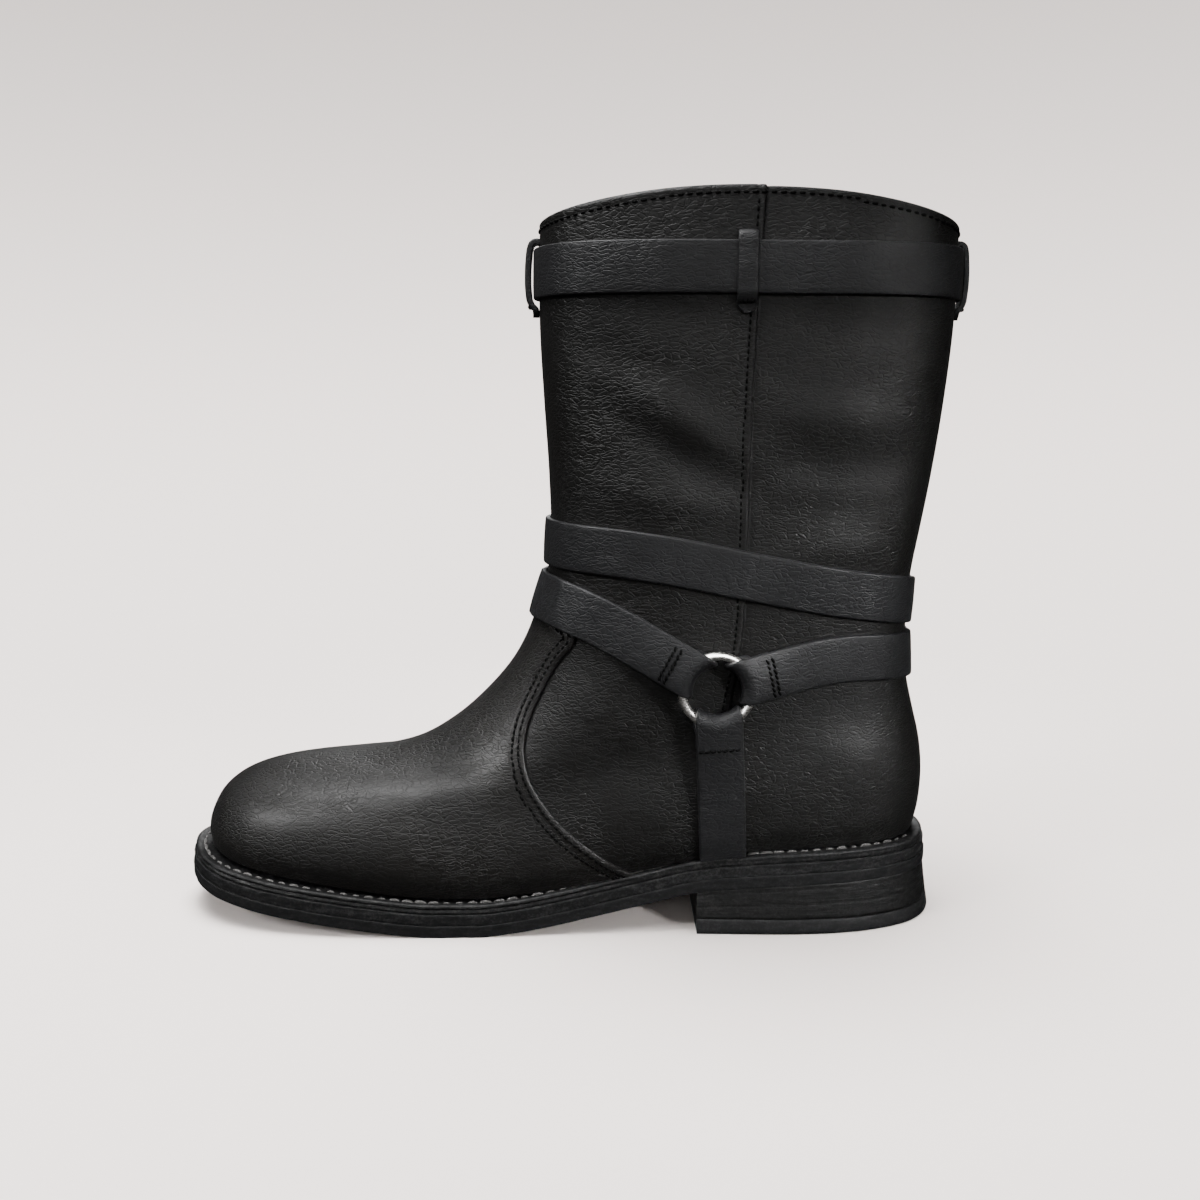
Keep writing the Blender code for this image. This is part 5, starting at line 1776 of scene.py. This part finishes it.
# %% Insole finish
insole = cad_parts["insole"]
insole.data.materials.clear()
insole.data.materials.append(INSOLE)
print("insole keeps its solid of", len(insole.data.polygons), "faces")

# %% [markdown]
# ## Floor and light
# The boot stands in a pale paper bowl: a floor that curves up into a wall all round, so no horizon
# shows from any side. The paper's wall glows a little, its floor less, and the paper has a painted pool of
# light: its colour and its glow are painted brighter round the boot and darker far from it and high up, as
# lit studio paper looks. Under the boot it doesn't glow, which is a painted shadow. Black leather shows what
# it mirrors, so the paper is kept out of its gloss and a few soft lights draw the shine: one overhead for the
# toe and the straps' edges, one at each side with a narrow beam, and a weak one in front for the shaft.
# Three more are linked to what they light: one behind for the outer side of the boot, a card that only the
# rings mirror, and a light that only the paper takes, for the boot's shadow.

# %% Pale paper bowl
FLOOR_RADIUS = 0.5
BEND_RADIUS = 1.5
WALL_HEIGHT = 4.0
AROUND_BOWL = 160
PAPER = (0.80, 0.726, 0.690)
FLOOR_GLOW = 0.38
WALL_GLOW = 1.2
GLOW_START = 0.2
GLOW_END = 1.4
# Reach of the painted shadow under the boot, along and across it, in metres.
PAINTED_SHADOW_REACH = (0.185, 0.10)
# Reach and height of the painted pool of light on the paper, in metres.
PAINTED_POOL_REACH = 2.1
PAINTED_POOL_HEIGHT = 1.5
PAPER_ROUGHNESS = 0.9
PAPER_SPECULAR = 0.1


def painted_light_pool(points):
    """Painted pool of light on the paper at points in metres: brighter round the boot, darker far from it and
    high up.
    """
    away = np.hypot(points[:, 0], points[:, 1]) / PAINTED_POOL_REACH
    return 1.0 / (1.0 + away ** 4 + (points[:, 2] / PAINTED_POOL_HEIGHT) ** 2)


def paper_glow(points):
    """How much the paper glows at points in metres: little on the floor, so that shadows show there, and none
    under the boot, which is a painted shadow.
    """
    away = np.hypot(points[:, 0], points[:, 1])
    share = ease(np.clip((away - GLOW_START) / (GLOW_END - GLOW_START), 0.0, 1.0))
    # Painted shadow: the glow fades to nothing where the boot stands.
    under = np.exp(-(points[:, 0] / PAINTED_SHADOW_REACH[0]) ** 4 - (points[:, 1] / PAINTED_SHADOW_REACH[1]) ** 2)
    return (FLOOR_GLOW + (WALL_GLOW - FLOOR_GLOW) * share) * (1.0 - under)


def add_bowl():
    """A round floor that bends up into a wall, with its painted pool of light and its glow, cut for a painted
    shadow under the boot, in attributes.
    """
    profile = [(radius, 0.0) for radius in np.linspace(0.0, FLOOR_RADIUS, 60)[1:-1]]
    profile += [(FLOOR_RADIUS + BEND_RADIUS * math.sin(turn), BEND_RADIUS * (1 - math.cos(turn)))
                for turn in np.linspace(0.0, math.pi / 2, 40)]
    profile += [(FLOOR_RADIUS + BEND_RADIUS, z) for z in np.linspace(BEND_RADIUS, WALL_HEIGHT, 20)[1:]]
    turns = np.linspace(0.0, 2 * math.pi, AROUND_BOWL, endpoint=False)
    points = [(radius * math.cos(turn), radius * math.sin(turn), z)
              for radius, z in profile for turn in turns]
    points = np.array(points + [(0.0, 0.0, 0.0)])
    faces = grid_quads(len(profile), AROUND_BOWL, close_cols=True)
    faces += [[len(points) - 1, step, (step + 1) % AROUND_BOWL] for step in range(AROUND_BOWL)]
    mesh = bpy.data.meshes.new("pale_bowl")
    mesh.from_pydata(points.tolist(), [], faces)
    mesh.shade_smooth()
    for name, values in (("painted_pool", painted_light_pool(points)), ("glow", paper_glow(points))):
        mesh.attributes.new(name, "FLOAT", "POINT").data.foreach_set("value", values)
    material, tree, surface, _place = new_finish("pale_paper")
    painted_pool = add_node(tree, "ShaderNodeAttribute", attribute_name="painted_pool").outputs["Fac"]
    glow = add_node(tree, "ShaderNodeAttribute", attribute_name="glow").outputs["Fac"]
    # Painted pool of light: the paper's colour and glow run from black far from the boot to the paper's
    # colour round it.
    shade = add_ramp(tree, painted_pool, ((0.0, (0.0, 0.0, 0.0)), (1.0, PAPER)))
    tree.links.new(shade, surface.inputs["Base Color"])
    tree.links.new(shade, surface.inputs["Emission Color"])
    tree.links.new(glow, surface.inputs["Emission Strength"])
    surface.inputs["Roughness"].default_value = PAPER_ROUGHNESS
    surface.inputs["Specular IOR Level"].default_value = PAPER_SPECULAR
    mesh.materials.append(material)
    bowl = bpy.data.objects.new("pale_bowl", mesh)
    bpy.context.scene.collection.objects.link(bowl)
    bowl.visible_glossy = False
    bowl.visible_diffuse = False
    return bowl


bowl = add_bowl()
print("bowl of", len(bowl.data.polygons), "faces")

# %% Soft lights
SOFT_LIGHTS = (
    # name, place, aimed at, width, height, power, spread in degrees
    ("top_light", (-0.25, -0.15, 1.15), (-0.02, 0.0, 0.1), 0.75, 0.6, 18.0, 180.0),
    ("left_light", (-0.95, -0.55, 0.75), (-0.08, 0.0, 0.06), 0.35, 0.5, 0.34, 22.0),
    ("right_light", (0.58, -0.56, 0.36), (0.09, 0.0, 0.07), 0.24, 0.22, 0.21, 24.0),
    ("front_light", (0.0, -1.25, 0.55), (0.0, 0.0, 0.15), 0.8, 0.35, 1.7, 180.0),
    ("back_light", (0.15, 1.1, 0.9), (0.0, 0.0, 0.12), 0.9, 0.5, 14.0, 180.0),
    ("ring_card", (0.0, -0.9, 0.75), (0.06, 0.0, 0.1), 1.6, 1.0, 75.0, 180.0),
    ("paper_light", (0.0, 0.35, 2.6), (0.0, 0.35, 0.0), 1.3, 1.3, 165.0, 180.0),
)
ROOM_COLOUR = (1.0, 0.985, 0.96, 1.0)
ROOM_STRENGTH = 0.04


def add_soft_light(name, place, aim, width, height, power, spread):
    """A large soft light aimed at a point."""
    data = bpy.data.lights.new(name, "AREA")
    data.shape = "RECTANGLE"
    data.size = width
    data.size_y = height
    data.energy = power
    data.spread = math.radians(spread)
    light = bpy.data.objects.new(name, data)
    light.location = place
    light.rotation_euler = (Vector(aim) - Vector(place)).to_track_quat("-Z", "Y").to_euler()
    bpy.context.scene.collection.objects.link(light)
    return light


lights = [add_soft_light(*row) for row in SOFT_LIGHTS]
BOOT_PIECES = [piece for piece in bpy.context.scene.objects if piece.type == "MESH" and piece != bowl]
for light, receivers in zip(lights[-3:], (BOOT_PIECES, (ring_inner, ring_outer), (bowl,))):
    lit = bpy.data.collections.new(light.name + "_only")
    for receiver in receivers:
        lit.objects.link(receiver)
    light.light_linking.receiver_collection = lit
world = bpy.data.worlds.new("dim_room")
world.use_nodes = True
room = world.node_tree.nodes["Background"]
room.inputs["Color"].default_value = ROOM_COLOUR
room.inputs["Strength"].default_value = ROOM_STRENGTH
bpy.context.scene.world = world
print("lights:", [light.name for light in lights])
